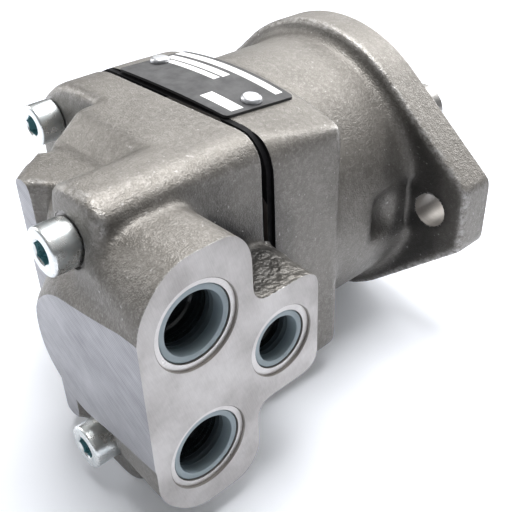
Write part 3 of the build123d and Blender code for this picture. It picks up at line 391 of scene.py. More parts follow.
milled_port = milled("milled_port_face", (0.60, 0.58, 0.57), (0.34, 0.32, 0.31), (0, 0.96, 0.28),
                     stained=0.6)
milled_back = milled("milled_back_face", (0.48, 0.48, 0.505), (0.21, 0.21, 0.23), (0.53, 0, 0.85),
                     0.9 * MM, depth=0.05 * MM, stained=0.25)
milled_seam = milled("milled_joint_face", (0.42, 0.405, 0.40), (0.30, 0.285, 0.28), (0.7, 0, 0.7))
turned_spot = milled("turned_spot_face", (0.74, 0.72, 0.71), (0.54, 0.52, 0.51), (0, 0.28, -0.96),
                     0.3 * MM, 0.3)
turned_iron = milled("turned_iron", (0.32, 0.30, 0.28), (0.20, 0.185, 0.17), (0, 1, 0), 0.2 * MM, 0.45)

# %% [markdown]
# ## Small finishes
# Steel parts differ in tint, gloss and in how the tool left them, so one function makes them all from a
# wear group: slow stains for the roughness, and fine scratches for the height.

# %% Handling marks group
group, given, wanted = new_group("handling_marks", {"Mark size": 3 * MM}, ("Stain", "Scratch"))
stain = noise(group, given["Places"], maths(group, "DIVIDE", 1.0, given["Mark size"]), 4.0, 0.6)
scratch = noise(group, given["Places"], maths(group, "DIVIDE", 8.0, given["Mark size"]), 5.0, 0.75)
feed(group, wanted["Stain"], spread(group, stain, 0.35, 0.65))
feed(group, wanted["Scratch"], spread(group, scratch, 0.35, 0.65))
handling_marks = group


# %% Metals, rubber and plastic
def plain_finish(name, colour, metallic, roughness, depth=0.006 * MM, specular=0.5):
    """Finish with stains in colour and gloss and fine scratches in height."""
    material, tree, places = new_material(name)
    marks = placed(tree, handling_marks, places, mark_size=3 * MM)
    contrast = 1.12
    bright = tuple(channel * contrast for channel in colour)
    dull = tuple(channel / contrast for channel in colour)
    shade(tree, {
        "Base Color": blend_colours(tree, marks["Stain"], dull, bright),
        "Metallic": metallic,
        "Roughness": spread(tree, marks["Stain"], 0.0, 1.0, roughness * 1.2, roughness * 0.85),
        "Specular IOR Level": specular,
        "Normal": bump(tree, marks["Scratch"], depth, 0.6),
    })
    return material


# Colour, metallic and roughness, and where they differ the scratch depth and the specular level
plain_looks = {
    "black_seal": ((0.008, 0.008, 0.009), 0.0, 0.7, 0.006 * MM, 0.12),
    "rivet_metal": ((0.58, 0.59, 0.61), 1.0, 0.38),
    "bronze": ((0.62, 0.40, 0.17), 1.0, 0.3),
    "ground_steel": ((0.38, 0.37, 0.36), 1.0, 0.36, 0.003 * MM),
    "turned_steel": ((0.34, 0.34, 0.35), 1.0, 0.38),
    "gear_steel": ((0.30, 0.31, 0.34), 1.0, 0.32),
    "spring_steel": ((0.07, 0.07, 0.08), 0.7, 0.35),
    "rubber": ((0.015, 0.015, 0.016), 0.0, 0.55, 0.01 * MM),
}
finishes = {name: plain_finish(name, *looks) for name, looks in plain_looks.items()}
slot_of = {piece["node"]: piece["material_slot"] for piece in frame["record"]["subparts"]}
for node, slot in slot_of.items():
    if slot in finishes:
        nodes[node].material_slots[0].material = finishes[slot]
print("finishes given to", sum(slot in finishes for slot in slot_of.values()), "nodes")

# %% [markdown]
# ## From model to casting
# A foundry can't leave a sharp inner or outer corner, but a milling machine does. So each casting is
# made twice over, as in the factory. First the raw blank: a copy of the CAD solid with its holes filled
# and its machined faces grown by a few millimetres, remeshed into small even faces and smoothed, which
# rounds every corner. Then the machining: planes and turned cutters take it back to the exact faces.

# %% Helpers for solids
near = 0.01 * MM


def solid(name, shape):
    """Object from a bmesh, which is thrown away."""
    mesh = bpy.data.meshes.new(name)
    shape.to_mesh(mesh)
    shape.free()
    return add_object(name, mesh)


def turned(name, profile, origin, direction, segments=72):
    """Solid turned from a closed profile of (radius, distance along the axis), in metres."""
    origin, direction = Vector(origin), Vector(direction).normalized()
    side = direction.orthogonal().normalized()
    other = direction.cross(side)
    turns = [2 * math.pi * step / segments for step in range(segments)]
    spokes = [side * math.cos(turn) + other * math.sin(turn) for turn in turns]
    shape = bmesh.new()
    rings = []
    for radius, distance in profile:
        centre = origin + direction * distance
        if radius == 0:
            rings.append([shape.verts.new(centre)] * segments)
        else:
            rings.append([shape.verts.new(centre + spoke * radius) for spoke in spokes])
    for ring, following in zip(rings, rings[1:] + rings[:1]):
        for step in range(segments):
            after = (step + 1) % segments
            corners = dict.fromkeys([ring[step], ring[after], following[after], following[step]])
            if len(corners) > 2:
                shape.faces.new(list(corners))
    bmesh.ops.recalc_face_normals(shape, faces=shape.faces)
    return solid(name, shape)


def rod(name, start, direction, radius, length, segments=64):
    """Plain cylinder from a start point."""
    profile = [(0, 0), (radius, 0), (radius, length), (0, length)]
    return turned(name, profile, start, direction, segments)


def slab(name, low, high, rounding=0):
    """Box between two corners, whose edges along Y can be rounded."""
    low, high = Vector(low), Vector(high)
    shape = bmesh.new()
    bmesh.ops.create_cube(shape, size=1)
    for vert in shape.verts:
        vert.co = (low + high) / 2 + vert.co * (high - low)
    if rounding:
        edges = [e for e in shape.edges if abs(e.verts[0].co.y - e.verts[1].co.y) > near]
        bmesh.ops.bevel(shape, geom=edges, offset=rounding, segments=8, affect="EDGES", profile=0.5)
    return solid(name, shape)


# %% Helpers for points and edges
def table(items, field, width, kind=float):
    """A field of a mesh's points, edges or faces, as an array with a row for each."""
    values = np.empty(width * len(items), kind)
    items.foreach_get(field, values)
    return values.reshape(-1, width)


def neighbour_mean(edges, values):
    """Mean over each point's neighbours, for an array with one row or number per point."""
    first, second = edges
    both, other = np.concatenate([first, second]), np.concatenate([second, first])
    found = np.maximum(np.bincount(both, minlength=len(values)), 1)
    if values.ndim == 1:
        return np.bincount(both, values[other], len(values)) / found
    sums = [np.bincount(both, column[other], len(values)) for column in values.T]
    return np.stack(sums, axis=1) / found[:, None]


def soften(mesh, weight, passes):
    """Smooth the points of a mesh where the weights are above zero."""
    points, edges = table(mesh.vertices, "co", 3), table(mesh.edges, "vertices", 2, int).T
    edges = edges[:, (weight[edges[0]] > 0) | (weight[edges[1]] > 0)]
    for _ in range(passes):
        points += (neighbour_mean(edges, points) - points) * weight[:, None]
    mesh.vertices.foreach_set("co", points.ravel())
    mesh.update()


def ramp(values, zero_at, one_at):
    """Weights that rise from 0 at one value to 1 at another."""
    return np.clip((values - zero_at) / (one_at - zero_at), 0, 1)


# %% Foundry: blank from a CAD node
voxel = 0.85 * MM
growth = 3 * MM
rounding_passes, soft_passes = 9, 30


def baked(piece):
    """Turn a piece with modifiers into a plain mesh."""
    bpy.context.view_layer.update()
    result = bpy.data.meshes.new_from_object(piece.evaluated_get(bpy.context.evaluated_depsgraph_get()))
    piece.modifiers.clear()
    piece.data = result
    return piece


def blank_of(node, name, grow, fillers, pattern, soft_weight):
    """Raw casting: grow the machined faces, fill the holes, remesh, trim to the pattern, round the edges."""
    shape = bmesh.new()
    shape.from_mesh(nodes[node].data)
    bmesh.ops.remove_doubles(shape, verts=shape.verts, dist=1e-6)
    for vert in shape.verts:
        vert.co += grow(vert.co)
    for filler in fillers:
        shape.from_mesh(filler.data)
        bpy.data.objects.remove(filler)
    piece = solid(name, shape)
    remesh = piece.modifiers.new("even_faces", "REMESH")
    remesh.mode = "VOXEL"
    remesh.voxel_size = voxel
    mesh = baked(piece).data
    if pattern:
        mesh.vertices.foreach_set("co", pattern(table(mesh.vertices, "co", 3)).ravel())
    soften(mesh, np.full(len(mesh.vertices), 0.5), rounding_passes)
    soften(mesh, 0.5 * soft_weight(table(mesh.vertices, "co", 3)), soft_passes)
    print(name, "blank has", len(mesh.polygons), "faces")
    return piece


# %% Sizes of the machined faces
seam_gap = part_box("housing_seal_plate")
seam_front, seam_back = seam_gap[1].y, seam_gap[0].y
bend = Vector((0, -68, 0)) * MM
tilt = math.radians(40)
barrel_along = Vector((math.sin(tilt), -math.cos(tilt), 0))
barrel_across = Vector((math.cos(tilt), math.sin(tilt), 0))
port_face = cap_high.x
tongue_face = cap_low.y
long_screws, short_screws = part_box("cap_screws_long"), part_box("cap_screws_short")
head_radius, head_height = 6.5 * MM, 8 * MM
screw_x, screw_z = long_screws[1].x - head_radius, long_screws[1].z - head_radius
long_seat, short_seat = long_screws[0].y + head_height, short_screws[0].y + head_height
screw_places = [Vector((x, 0, z)) for x in (-screw_x, screw_x) for z in (-screw_z, screw_z)]
screw_seats = [long_seat if place.x > 0 else short_seat for place in screw_places]
half_block = cap_high.z
casing_half_height = 40 * MM
casing_end = 56.5 * MM
along_x, along_y = (1, 0, 0), (0, 1, 0)
print("seam from", round(seam_back, 4), "to", round(seam_front, 4), "ports face", round(port_face, 4))

# %% Sizes of the ports
plug_fit = 0.1 * MM
ports = {}
for name in ("port_plug_a", "port_plug_b", "drain_plug"):
    low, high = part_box(name)
    mouth = (high.y - low.y) / 2 + plug_fit
    main = mouth > 9 * MM
    ports[name] = {
        "start": Vector((port_face, (low.y + high.y) / 2, (low.z + high.z) / 2)),
        "mouth": mouth,
        "bore": mouth - (1.2 if main else 1.15) * MM,
        "spot": mouth + (1.5 if main else 1.8) * MM,
        "depth": (17 if main else 12) * MM,
        "plug": (low.x, high.x),
    }
    print(name, "closes a bore of radius", round(ports[name]["bore"] / MM, 2), "mm")

# %% [markdown]
# ## End cap
# The blank grows at the port face, the joint, the flat back and the narrow flat that the milling of the
# back leaves on the barrel casing. That last one lies on slanted walls, so there the corner grows along
# the walls instead, up to the point where they meet.

# %% Stock for the end cap
end_band = 2 * MM
strip_start_x, strip_reach_x = -30 * MM, 17 * MM
tongue_growth = 1.2 * MM
nose_x, nose_radius = 35.5 * MM, 18.6 * MM
cavity_radius, cavity_depth = 26.8 * MM, 22 * MM
bush_radius, bush_depth = 20.52 * MM, 43.5 * MM
port_fill, port_stock = 24 * MM, 2.2 * MM
screw_way, screw_stock = 4.5 * MM, 0.5 * MM


def grow_cap(place):
    """How far a corner of the end cap's solid moves outwards to leave metal for machining."""
    push = Vector((0, 0, 0))
    if abs(place.x - port_face) < near:
        push.x += growth
    if abs(place.y - seam_back) < near:
        push.y += growth
    if abs(place.y - tongue_face) < near:
        push.y -= tongue_growth
    on_strip = abs(place.y - long_seat) < near and place.x < strip_reach_x
    if on_strip and abs(place.z) < casing_half_height + near:
        if (place - bend).dot(barrel_along) > casing_end - end_band:
            push -= barrel_across * (growth / math.sin(tilt))
        else:
            push += barrel_along * (growth / math.cos(tilt))
    return push


cavity = [(0, -casing_end), (cavity_radius, -casing_end), (cavity_radius, cavity_depth),
          (bush_radius, cavity_depth), (bush_radius, bush_depth), (0, bush_depth)]
fillers = [turned("cavity_fill", [(r * 1.02, d * 1.01) for r, d in cavity], bend, barrel_along)]
corner_stock = slab("corner_stock", (-33 * MM, -casing_end, -casing_half_height),
                    (-24 * MM, -casing_end + 20 * MM, casing_half_height))
corner_stock.data.transform(Matrix.Translation(bend) @ Matrix.Rotation(tilt, 4, "Z"))
fillers.append(corner_stock)
for port in ports.values():
    start = port["start"] - Vector((port_fill, 0, 0))
    fillers.append(rod("port_fill", start, along_x, port["mouth"] + port_stock, port_fill + growth))
for place, seat in zip(screw_places, screw_seats):
    start, depth = (place.x, seam_back + growth, place.z), seam_back + growth - seat
    fillers.append(rod("screw_fill", start, (0, -1, 0), screw_way + screw_stock, depth))
print("end cap stock has", len(fillers), "fillers")


# %% End cap blank
def cap_pattern(points):
    """The casing rises a little towards its end, and the cast nose slopes back from the milled tongue."""
    along = (points - np.array(bend)) @ np.array(barrel_along)
    height = np.abs(points[:, 2])
    on_casing = ramp(height, 33 * MM, 39 * MM) * ramp(height, 45 * MM, 41 * MM)
    rise = np.interp(along, (5 * MM, 15 * MM, 56 * MM), (0, -1.6 * MM, 1.3 * MM))
    points[:, 2] += np.sign(points[:, 2]) * rise * on_casing
    x, z = points[:, 0] - nose_x, points[:, 2]
    edge = np.where(z > 0, nose_radius + 0.135 * x, nose_radius - 0.14 * x)
    beyond = np.where(x < 0, np.hypot(x, z) - nose_radius, np.abs(z) - edge)
    slope_back = np.clip(beyond, 0, np.interp(x, (-15 * MM, 10 * MM, 28 * MM), (7.5 * MM, 4 * MM, 1.5 * MM)))
    trimmed = np.maximum(points[:, 1], tongue_face - tongue_growth + slope_back)
    on_strip = (points[:, 0] < strip_reach_x) & (np.hypot(x, z) > nose_radius + 5.5 * MM)
    points[:, 1] = np.where(on_strip, points[:, 1], trimmed)
    return points


def soft_cap(points):
    """Where the end cap is rounded more: the upper and lower rims of the tongue."""
    x, y, z = points.T
    rim = ramp(y, tongue_face + 9 * MM, tongue_face + 5 * MM) * ramp(np.abs(z), 8 * MM, 14 * MM)
    return rim * ramp(x, port_face - 4 * MM, port_face - 10 * MM)


end_cap = blank_of("end_cap", "end_cap_casting", grow_cap, fillers, cap_pattern, soft_cap)

# %% [markdown]
# Machining is a list of cutters. A port is one turned profile: spot face, chamfered mouth, and a bore
# whose thread shows as a row of shallow grooves.

# %% Port cutter
spot_edge, spot_depth, step_depth = 0.25 * MM, 0.8 * MM, 2.2 * MM
thread_start, thread_pitch, thread_depth = 3.4 * MM, 1.5 * MM, 0.35 * MM
clear, far = 5 * MM, 200 * MM


def cut(piece, tools):
    """Machine a piece with a list of tools, and throw the tools away."""
    for tool in tools:
        machining = piece.modifiers.new(tool.name, "BOOLEAN")
        machining.operation = "DIFFERENCE"
        machining.solver = "MANIFOLD"
        machining.object = tool
    baked(piece)
    for tool in tools:
        bpy.data.objects.remove(tool)
    return piece


def port_cutter(port):
    """Turned cutter for a port: spot face with a chamfered rim, stepped mouth and grooved bore."""
    mouth, bore, spot, depth = (port[name] for name in ("mouth", "bore", "spot", "depth"))
    rim, floor = spot + spot_edge, -depth - 0.8 * MM
    profile = [(0, clear), (rim, clear), (rim, 0), (spot, -spot_edge), (spot, -spot_depth),
               (mouth, -spot_depth), (mouth, -step_depth), (bore, -step_depth)]
    distance = -thread_start
    while distance > -depth:
        profile += [(bore, distance), (bore + thread_depth, distance - thread_pitch / 2)]
        distance -= thread_pitch
    profile += [(bore, floor), (0, floor)]
    return turned("port_cutter", profile, port["start"], along_x)


# %% Machine the end cap
tongue_radius, tongue_x = 19 * MM, 32 * MM
seat_radius, seat_sink = 7.3 * MM, 0.3 * MM
strip_cutter = slab("strip_cutter", (strip_start_x, -far, -far), (strip_reach_x, long_seat, far))
tongue_start = (tongue_x, long_seat + clear, 0)
cut(strip_cutter, [rod("tongue_keep", tongue_start, (0, -1, 0), tongue_radius, 2 * far, 96)])
cutters = [
    slab("port_plane", (port_face, -far, -far), (far, far, far)),
    slab("seam_plane", (-far, seam_back, -far), (half_block + 0.4 * MM, far, far)),
    slab("back_plane", (-far, -far, -far), (far, tongue_face, far)),
    strip_cutter,
    turned("cavity", cavity, bend, barrel_along),
]
cutters += [port_cutter(port) for port in ports.values()]
for place, seat in zip(screw_places, screw_seats):
    sunk, back = seat + seat_sink, seat - 4 * clear
    profile = [(0, seam_back + clear), (screw_way, seam_back + clear), (screw_way, sunk),
               (seat_radius, sunk), (seat_radius, back), (0, back)]
    cutters.append(turned("screw_way", profile, place, along_y))
cut(end_cap, cutters)
print("end cap machined,", len(end_cap.data.polygons), "faces")


# %% Finish the end cap
def set_finish(piece, material, coats=()):
    """Give a piece its material, paint masks of its faces with others, and keep its edges crisp."""
    materials = [material]
    finish = np.zeros(len(piece.data.polygons), int)
    for coat, mask in coats:
        if coat not in materials:
            materials.append(coat)
        finish[mask] = materials.index(coat)
    piece.data.materials.clear()
    for used in materials:
        piece.data.materials.append(used)
    piece.data.polygons.foreach_set("material_index", finish)
    piece.data.shade_smooth()
    piece.data.set_sharp_from_angle(angle=sharp_above)


def off_axis(points, origin, direction):
    """Distance of points from an axis."""
    arm = points - np.array(origin)
    direction = np.array(direction)
    return np.linalg.norm(arm - np.outer(arm @ direction, direction), axis=1)


def in_plane(piece, axis, side, level):
    """Which faces lie in a plane square to an axis, and look along it or against it."""
    centres, normals = table(piece.data.polygons, "center", 3), table(piece.data.polygons, "normal", 3)
    return (normals[:, axis] * side > 0.99) & (np.abs(centres[:, axis] - level) < flat)


sharp_above = math.radians(32)
flat = 0.05 * MM
spot_level = port_face - spot_depth
centres = table(end_cap.data.polygons, "center", 3)
in_strip = in_plane(end_cap, 1, -1, long_seat) & (centres[:, 0] < strip_reach_x)
coats = [
    (milled_port, in_plane(end_cap, 0, 1, port_face)),
    (milled_back, in_plane(end_cap, 1, -1, tongue_face) | in_strip),
    (milled_seam, in_plane(end_cap, 1, 1, seam_back)),
]
for place, seat in zip(screw_places, screw_seats):
    on_seat = np.abs(centres[:, 1] - seat - seat_sink) < flat
    coats.append((milled_seam, on_seat & (off_axis(centres, place, along_y) < seat_radius)))
below_face = (centres[:, 0] > spot_level - near) & (centres[:, 0] < port_face - near)
below_spot = (centres[:, 0] > port_face - 20 * MM) & (centres[:, 0] < spot_level - near)
for port in ports.values():
    from_axis = off_axis(centres, port["start"], along_x)
    by_port = from_axis < port["mouth"] + port_stock
    coats.append((turned_iron, by_port & below_face))
    coats.append((turned_spot, by_port & in_plane(end_cap, 0, 1, spot_level)))
    coats.append((turned_iron, below_spot & (from_axis < port["mouth"] + 0.1 * MM)))
in_cavity = off_axis(centres, bend, barrel_along) < cavity_radius + 0.1 * MM
in_cavity &= (centres - np.array(bend)) @ np.array(barrel_along) < bush_depth + 0.1 * MM
set_finish(end_cap, cast_iron, coats + [(turned_iron, in_cavity)])
print("end cap finished with", len(end_cap.data.materials), "materials")

# %% [markdown]
# ## Bearing housing
# The same two steps. The pilot ring on the front is turned, so the cutter there is one profile that
# clears everything in front of the flange except the ring. The pockets behind the ears stay as cast.
# At the joint a small rebate runs round the block: the seal between the castings ends there, and the
# rebate's iron faces are painted with the black seal finish as painted shade, so the gap shows as one black
# line.


# %% Bearing housing blank
def grow_housing(place):
    """How far a corner of the housing's solid moves outwards to leave metal for machining."""
    push = Vector((0, 0, 0))
    if abs(place.y - seam_front) < near:
        push.y -= growth
    if abs(place.y) < near:
        push.y += growth
    return push


bore_mouth, bore_stock = 31 * MM, 2 * MM
bolt_x, bolt_hole, bolt_stock = 53.2 * MM, 5.75 * MM, 0.75 * MM
tap_radius, tap_stock, tap_depth = 4.05 * MM, 0.55 * MM, 20 * MM
pilot_radius, pilot_height, pilot_chamfer = 41.275 * MM, housing_high.y, 0.8 * MM
bolt_fill = flange_thickness - 0.5 * MM
fillers = [
    rod("bore_fill", (0, seam_front - growth, 0), along_y, bore_mouth + bore_stock, 60 * MM),
    rod("pilot_fill", (0, -20 * MM, 0), along_y, 44 * MM, 20 * MM + pilot_height + growth),
]
for x in (-bolt_x, bolt_x):
    fillers.append(rod("bolt_fill", (x, -bolt_fill, 0), along_y, bolt_hole + bolt_stock, bolt_fill + growth))
for place in screw_places:
    start = (place.x, seam_front - growth, place.z)
    fillers.append(rod("tap_fill", start, along_y, tap_radius + tap_stock, growth + tap_depth + 1 * MM))
rivet_low, rivet_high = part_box("nameplate_rivets")
rivet_y = (rivet_low.y + rivet_high.y) / 2
rivet_head = 3.2 * MM
for x in (rivet_low.x + rivet_head, rivet_high.x - rivet_head):
    fillers.append(rod("rivet_fill", (x, rivet_y, half_block - 7.5 * MM), (0, 0, 1), 2.2 * MM, 6 * MM))


def soft_housing(points):
    """Where the housing is rounded more: the block's long edges, and the pockets behind the ears."""
    x, y, z = np.abs(points[:, 0]), points[:, 1], np.abs(points[:, 2])
    edge = ramp(x, 24 * MM, 30 * MM) * ramp(z, 24 * MM, 30 * MM) * ramp(y, -50 * MM, -55 * MM)
    pocket = ramp(x, 36 * MM, 39 * MM) * ramp(z, 20 * MM, 16 * MM) * ramp(y, -50 * MM, -46 * MM)
    return np.maximum(edge, pocket * (y < -flange_thickness - 1.5 * MM))


housing = blank_of("bearing_housing", "bearing_housing_casting", grow_housing, fillers, None, soft_housing)

# %% Machine the bearing housing
bore_start = seam_front - clear
bore_steps = [(31, -54), (27.5, -54), (27.5, -38), (21, -38), (21, -35.5), (23.5, -35.5), (23.5, -21.5),
              (25, -20), (25, -4), (26.5, -4), (26.5, -2.5), (25, -2.5), (25, 12), (0, 12)]
bore_profile = [(0, bore_start), (bore_mouth, bore_start)] + [(r * MM, d * MM) for r, d in bore_steps]
front_profile = [(0, 40 * MM), (130 * MM, 40 * MM), (130 * MM, 0), (pilot_radius, 0),
                 (pilot_radius, pilot_height - pilot_chamfer),
                 (pilot_radius - pilot_chamfer, pilot_height), (0, pilot_height)]
cutters = [
    slab("seam_plane", (-far, -far, -far), (far, seam_front, far)),
    turned("front_cutter", front_profile, (0, 0, 0), along_y, 128),
    turned("bore_cutter", bore_profile, (0, 0, 0), along_y, 96),
]
cutters += [rod("bolt_hole", (x, -40 * MM, 0), along_y, bolt_hole, 60 * MM) for x in (-bolt_x, bolt_x)]
for place in screw_places:
    start = (place.x, seam_front - clear, place.z)
    cutters.append(rod("tapped_hole", start, along_y, tap_radius, clear + tap_depth))
rebate_width, rebate_depth, block_corner = 1.6 * MM, 1.3 * MM, 11 * MM
kept_half = half_block - rebate_depth
rebate = slab("rebate", (-far, seam_front - clear, -far), (far, seam_front + rebate_width, far))
kept = slab("kept", (-kept_half, seam_front - 2 * clear, -kept_half),
            (kept_half, seam_front + clear, kept_half), block_corner)
cutters.append(cut(rebate, [kept]))
cut(housing, cutters)
print("housing machined,", len(housing.data.polygons), "faces")

# %% Finish the bearing housing
centres = table(housing.data.polygons, "center", 3)
from_shaft = off_axis(centres, (0, 0, 0), along_y)
in_bore = (centres[:, 1] > flat) | (from_shaft < bore_mouth + 0.1 * MM)
for x in (-bolt_x, bolt_x):
    in_bore |= off_axis(centres, (x, 0, 0), along_y) < bolt_hole + near
# Painted shade: the rebate's iron faces get the black seal finish.
rebate_shade_faces = (centres[:, 1] < seam_front + rebate_width + near) & (from_shaft > bore_mouth + bore_stock)
rebate_shade_faces &= np.abs(centres[:, [0, 2]]).max(axis=1) < half_block - 0.4 * MM
set_finish(housing, cast_iron, [
    (milled_seam, in_plane(housing, 1, -1, seam_front) | in_plane(housing, 1, 1, 0)),
    (turned_iron, in_bore),
    (finishes["black_seal"], rebate_shade_faces),
])
print("housing finished with", len(housing.data.materials), "materials")

# %% [markdown]
# ## Wear and painted shade
# The raw iron asks each point of a casting for two numbers. Corner says how far the point stands out
# from its neighbours, and the bright wear goes there. Sky cover says how much of the sky above it is
# covered: a few rays go out from the skin, spread evenly by the golden angle, and those that soon meet
# either casting are counted. Where much of the sky is covered, the colour is painted darker: painted shade.

# %% Wear and painted shade on both castings
spoke_count, spoke_length = 14, 0.98
cover_ray_reach, cover_ray_start = 40 * MM, 0.5 * MM
golden = math.pi * (3 - math.sqrt(5))
spokes = []
for i in range(spoke_count):
    height = 1 - (2 * i + 1) / spoke_count
    round_part = math.sqrt(1 - height * height)
    spoke = Vector((round_part * math.cos(golden * i), round_part * math.sin(golden * i), height))
    spokes.append(spoke * spoke_length)


def mark_skin(piece, other):
    """Store how far each point stands out from its neighbours, and how much of its sky is covered."""
    mesh = piece.data
    points, normals = table(mesh.vertices, "co", 3), table(mesh.vertices, "normal", 3)
    edges = table(mesh.edges, "vertices", 2, int).T
    gap = points - neighbour_mean(edges, points)
    reach = np.sqrt(neighbour_mean(edges, (gap ** 2).sum(axis=1))) + voxel / 3
    corner = np.clip((gap * normals).sum(axis=1) / reach, -1, 1)
    mesh.attributes.new("corner", "FLOAT", "POINT").data.foreach_set("value", corner)
    places, faces = [], []
    for thing in (piece, other):
        first = len(places)
        places += [vert.co for vert in thing.data.vertices]
        faces += [[first + i for i in face.vertices] for face in thing.data.polygons]
    tree = BVHTree.FromPolygons(places, faces)
    covered = np.zeros(len(points))
    for vert in mesh.vertices:
        start = vert.co + vert.normal * cover_ray_start
        for spoke in spokes:
            hit = tree.ray_cast(start, vert.normal + spoke, cover_ray_reach)[0]
            covered[vert.index] += hit is not None
    covered /= len(spokes)
    for _ in range(8):
        covered = 0.4 * covered + 0.6 * neighbour_mean(edges, covered)
    mesh.attributes.new("shelter", "FLOAT", "POINT").data.foreach_set("value", covered)


for casting, other, node in ((end_cap, housing, "end_cap"), (housing, end_cap, "bearing_housing")):
    mark_skin(casting, other)
    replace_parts(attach(casting, "motor_body"), node)
print("castings marked")

# %% [markdown]
# ## Nameplate
# The plate is dark printed aluminium. Its print is three empty strips for the data and one white box.
# The plate is nearly flat, so a printed field is a box in X and Y, and the mask group gives 1 inside it.
# The fields are blank: nothing is written on them.

# %% Printed field group
group, given, wanted = new_group(
    "printed_field", {"Middle": (0, 0, 0), "Half size": (1, 1, 1)}, ("Ink",)
)
offset = vector_maths(group, "SUBTRACT", given["Places"], given["Middle"])
inside = vector_maths(group, "SUBTRACT", given["Half size"], vector_maths(group, "ABSOLUTE", offset))
margins = apart(group, inside)
margin = maths(group, "MINIMUM", margins["X"], margins["Y"])
feed(group, wanted["Ink"], spread(group, margin, -0.04 * MM, 0.04 * MM))
printed_field = group

# %% Nameplate finish
plate_low, plate_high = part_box("nameplate")
plate_print, tree, places = new_material("plate_print")
fields = [
    ((0.01, 0.935), (0.836, 0.945)),
    ((0.03, 0.585), (0.664, 0.773)),
    ((0.11, 0.575), (0.540, 0.633)),
    ((0.70, 0.965), (0.133, 0.305)),
]
width, length = plate_high.x - plate_low.x, plate_high.y - plate_low.y
ink = None
for (left, right), (low, high) in fields:
    centre = (plate_low.x + width * (left + right) / 2, plate_low.y + length * (low + high) / 2, 0)
    half = (width * (right - left) / 2, length * (high - low) / 2, 1)
    field = placed(tree, printed_field, places, middle=centre, half_size=half)["Ink"]
    ink = field if ink is None else maths(tree, "MAXIMUM", ink, field)
marks = placed(tree, handling_marks, places, mark_size=5 * MM)
dark = blend_colours(tree, marks["Stain"], (0.034, 0.034, 0.036), (0.052, 0.052, 0.054))
shade(tree, {
    "Base Color": blend_colours(tree, ink, dark, (0.86, 0.86, 0.86)),
    "Specular IOR Level": 0.35,
    "Roughness": spread(tree, marks["Stain"], 0.0, 1.0, 0.55, 0.45),
    "Normal": bump(tree, marks["Scratch"], 0.004 * MM, 0.4),
})
nodes["nameplate"].material_slots[0].material = plate_print
print("nameplate has", len(fields), "blank fields")

# %% [markdown]
# ## Port plugs
# Each port is closed for transport by a thin cup of translucent plastic. The cup is turned from one
# profile with a rounded lip. Its colour is painted darker with depth, from milky blue near the lip to
# nearly black at the floor: painted shade for the little light deep in the port and the dark metal behind
# it. The top of the lip is painted almost white: a painted highlight.

# %% Plug finish
plug_plastic, tree, places = new_material("plug_plastic")
depth = apart(tree, places)["X"]
# Painted shade: darker deeper in the port. Painted highlight: the lip's top almost white.
depth_shade = spread(tree, depth, port_face - 8 * MM, port_face - 1.5 * MM)
lip_highlight = spread(tree, depth, port_face - 0.95 * MM, port_face - 0.7 * MM)
shaded_tint = blend_colours(tree, depth_shade, (0.048, 0.060, 0.067), (0.52, 0.63, 0.68))
marks = placed(tree, handling_marks, places, mark_size=4 * MM)
shade(tree, {
    "Base Color": blend_colours(tree, lip_highlight, shaded_tint, (0.86, 0.92, 0.94)),
    "Roughness": spread(tree, marks["Stain"], 0.0, 1.0, 0.24, 0.16),
    "Transmission Weight": 0.35,
    "IOR": 1.48,
})


# %% Plugs
def plug_profile(lip, bore, floor, top):
    """Closed profile of a plug: outside with its hem, rounded lip, ribbed inside, ring on the floor."""
    wall, rib, rib_pitch, hem, corner = 0.7 * MM, 0.2 * MM, 1.5 * MM, 1.0 * MM, 0.5 * MM
    inner, step, base = bore - wall, top - hem, floor + 1.0 * MM
    profile = [(0, floor), (bore - corner, floor), (bore, floor + corner), (bore, step)]
    profile += [(lip - 0.15 * MM, step), (lip, step + 0.15 * MM), (lip, top - 0.3 * MM)]
    profile += [(lip - 0.3 * MM, top), (inner + 0.4 * MM, top), (inner + 0.1 * MM, top - 0.12 * MM)]
    profile.append((inner, top - 0.45 * MM))
    level = top - 2 * rib_pitch
    while level > floor + 2.5 * MM:
        profile += [(inner, level), (inner - rib, level - 0.35 * MM), (inner, level - 0.7 * MM)]
        level -= rib_pitch
    profile += [(inner, floor + 1.6 * MM), (inner - 0.6 * MM, base)]
    profile += [(bore * 0.55, base), (bore * 0.5, base + 0.4 * MM), (bore * 0.45, base), (0, base)]
    return profile


for name, port in ports.items():
    profile = plug_profile(port["mouth"] - plug_fit, port["bore"] - plug_fit, *port["plug"])
    axis = (0, port["start"].y, port["start"].z)
    plug = turned(name + "_moulding", profile, axis, along_x, 96)
    set_finish(plug, plug_plastic)
    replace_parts(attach(plug, "motor_body"), name)
print("plugs turned:", len(ports))

# %% [markdown]
# ## Cap screws
# Four socket head screws hold the cap. One head is modelled with care: a turned blank with rounded rims,
# a hexagon sunk into it and a drill point below. A Geometry Nodes tree puts it on a set of points, and
# turns each screw by a random amount, since nobody lines up their sockets.


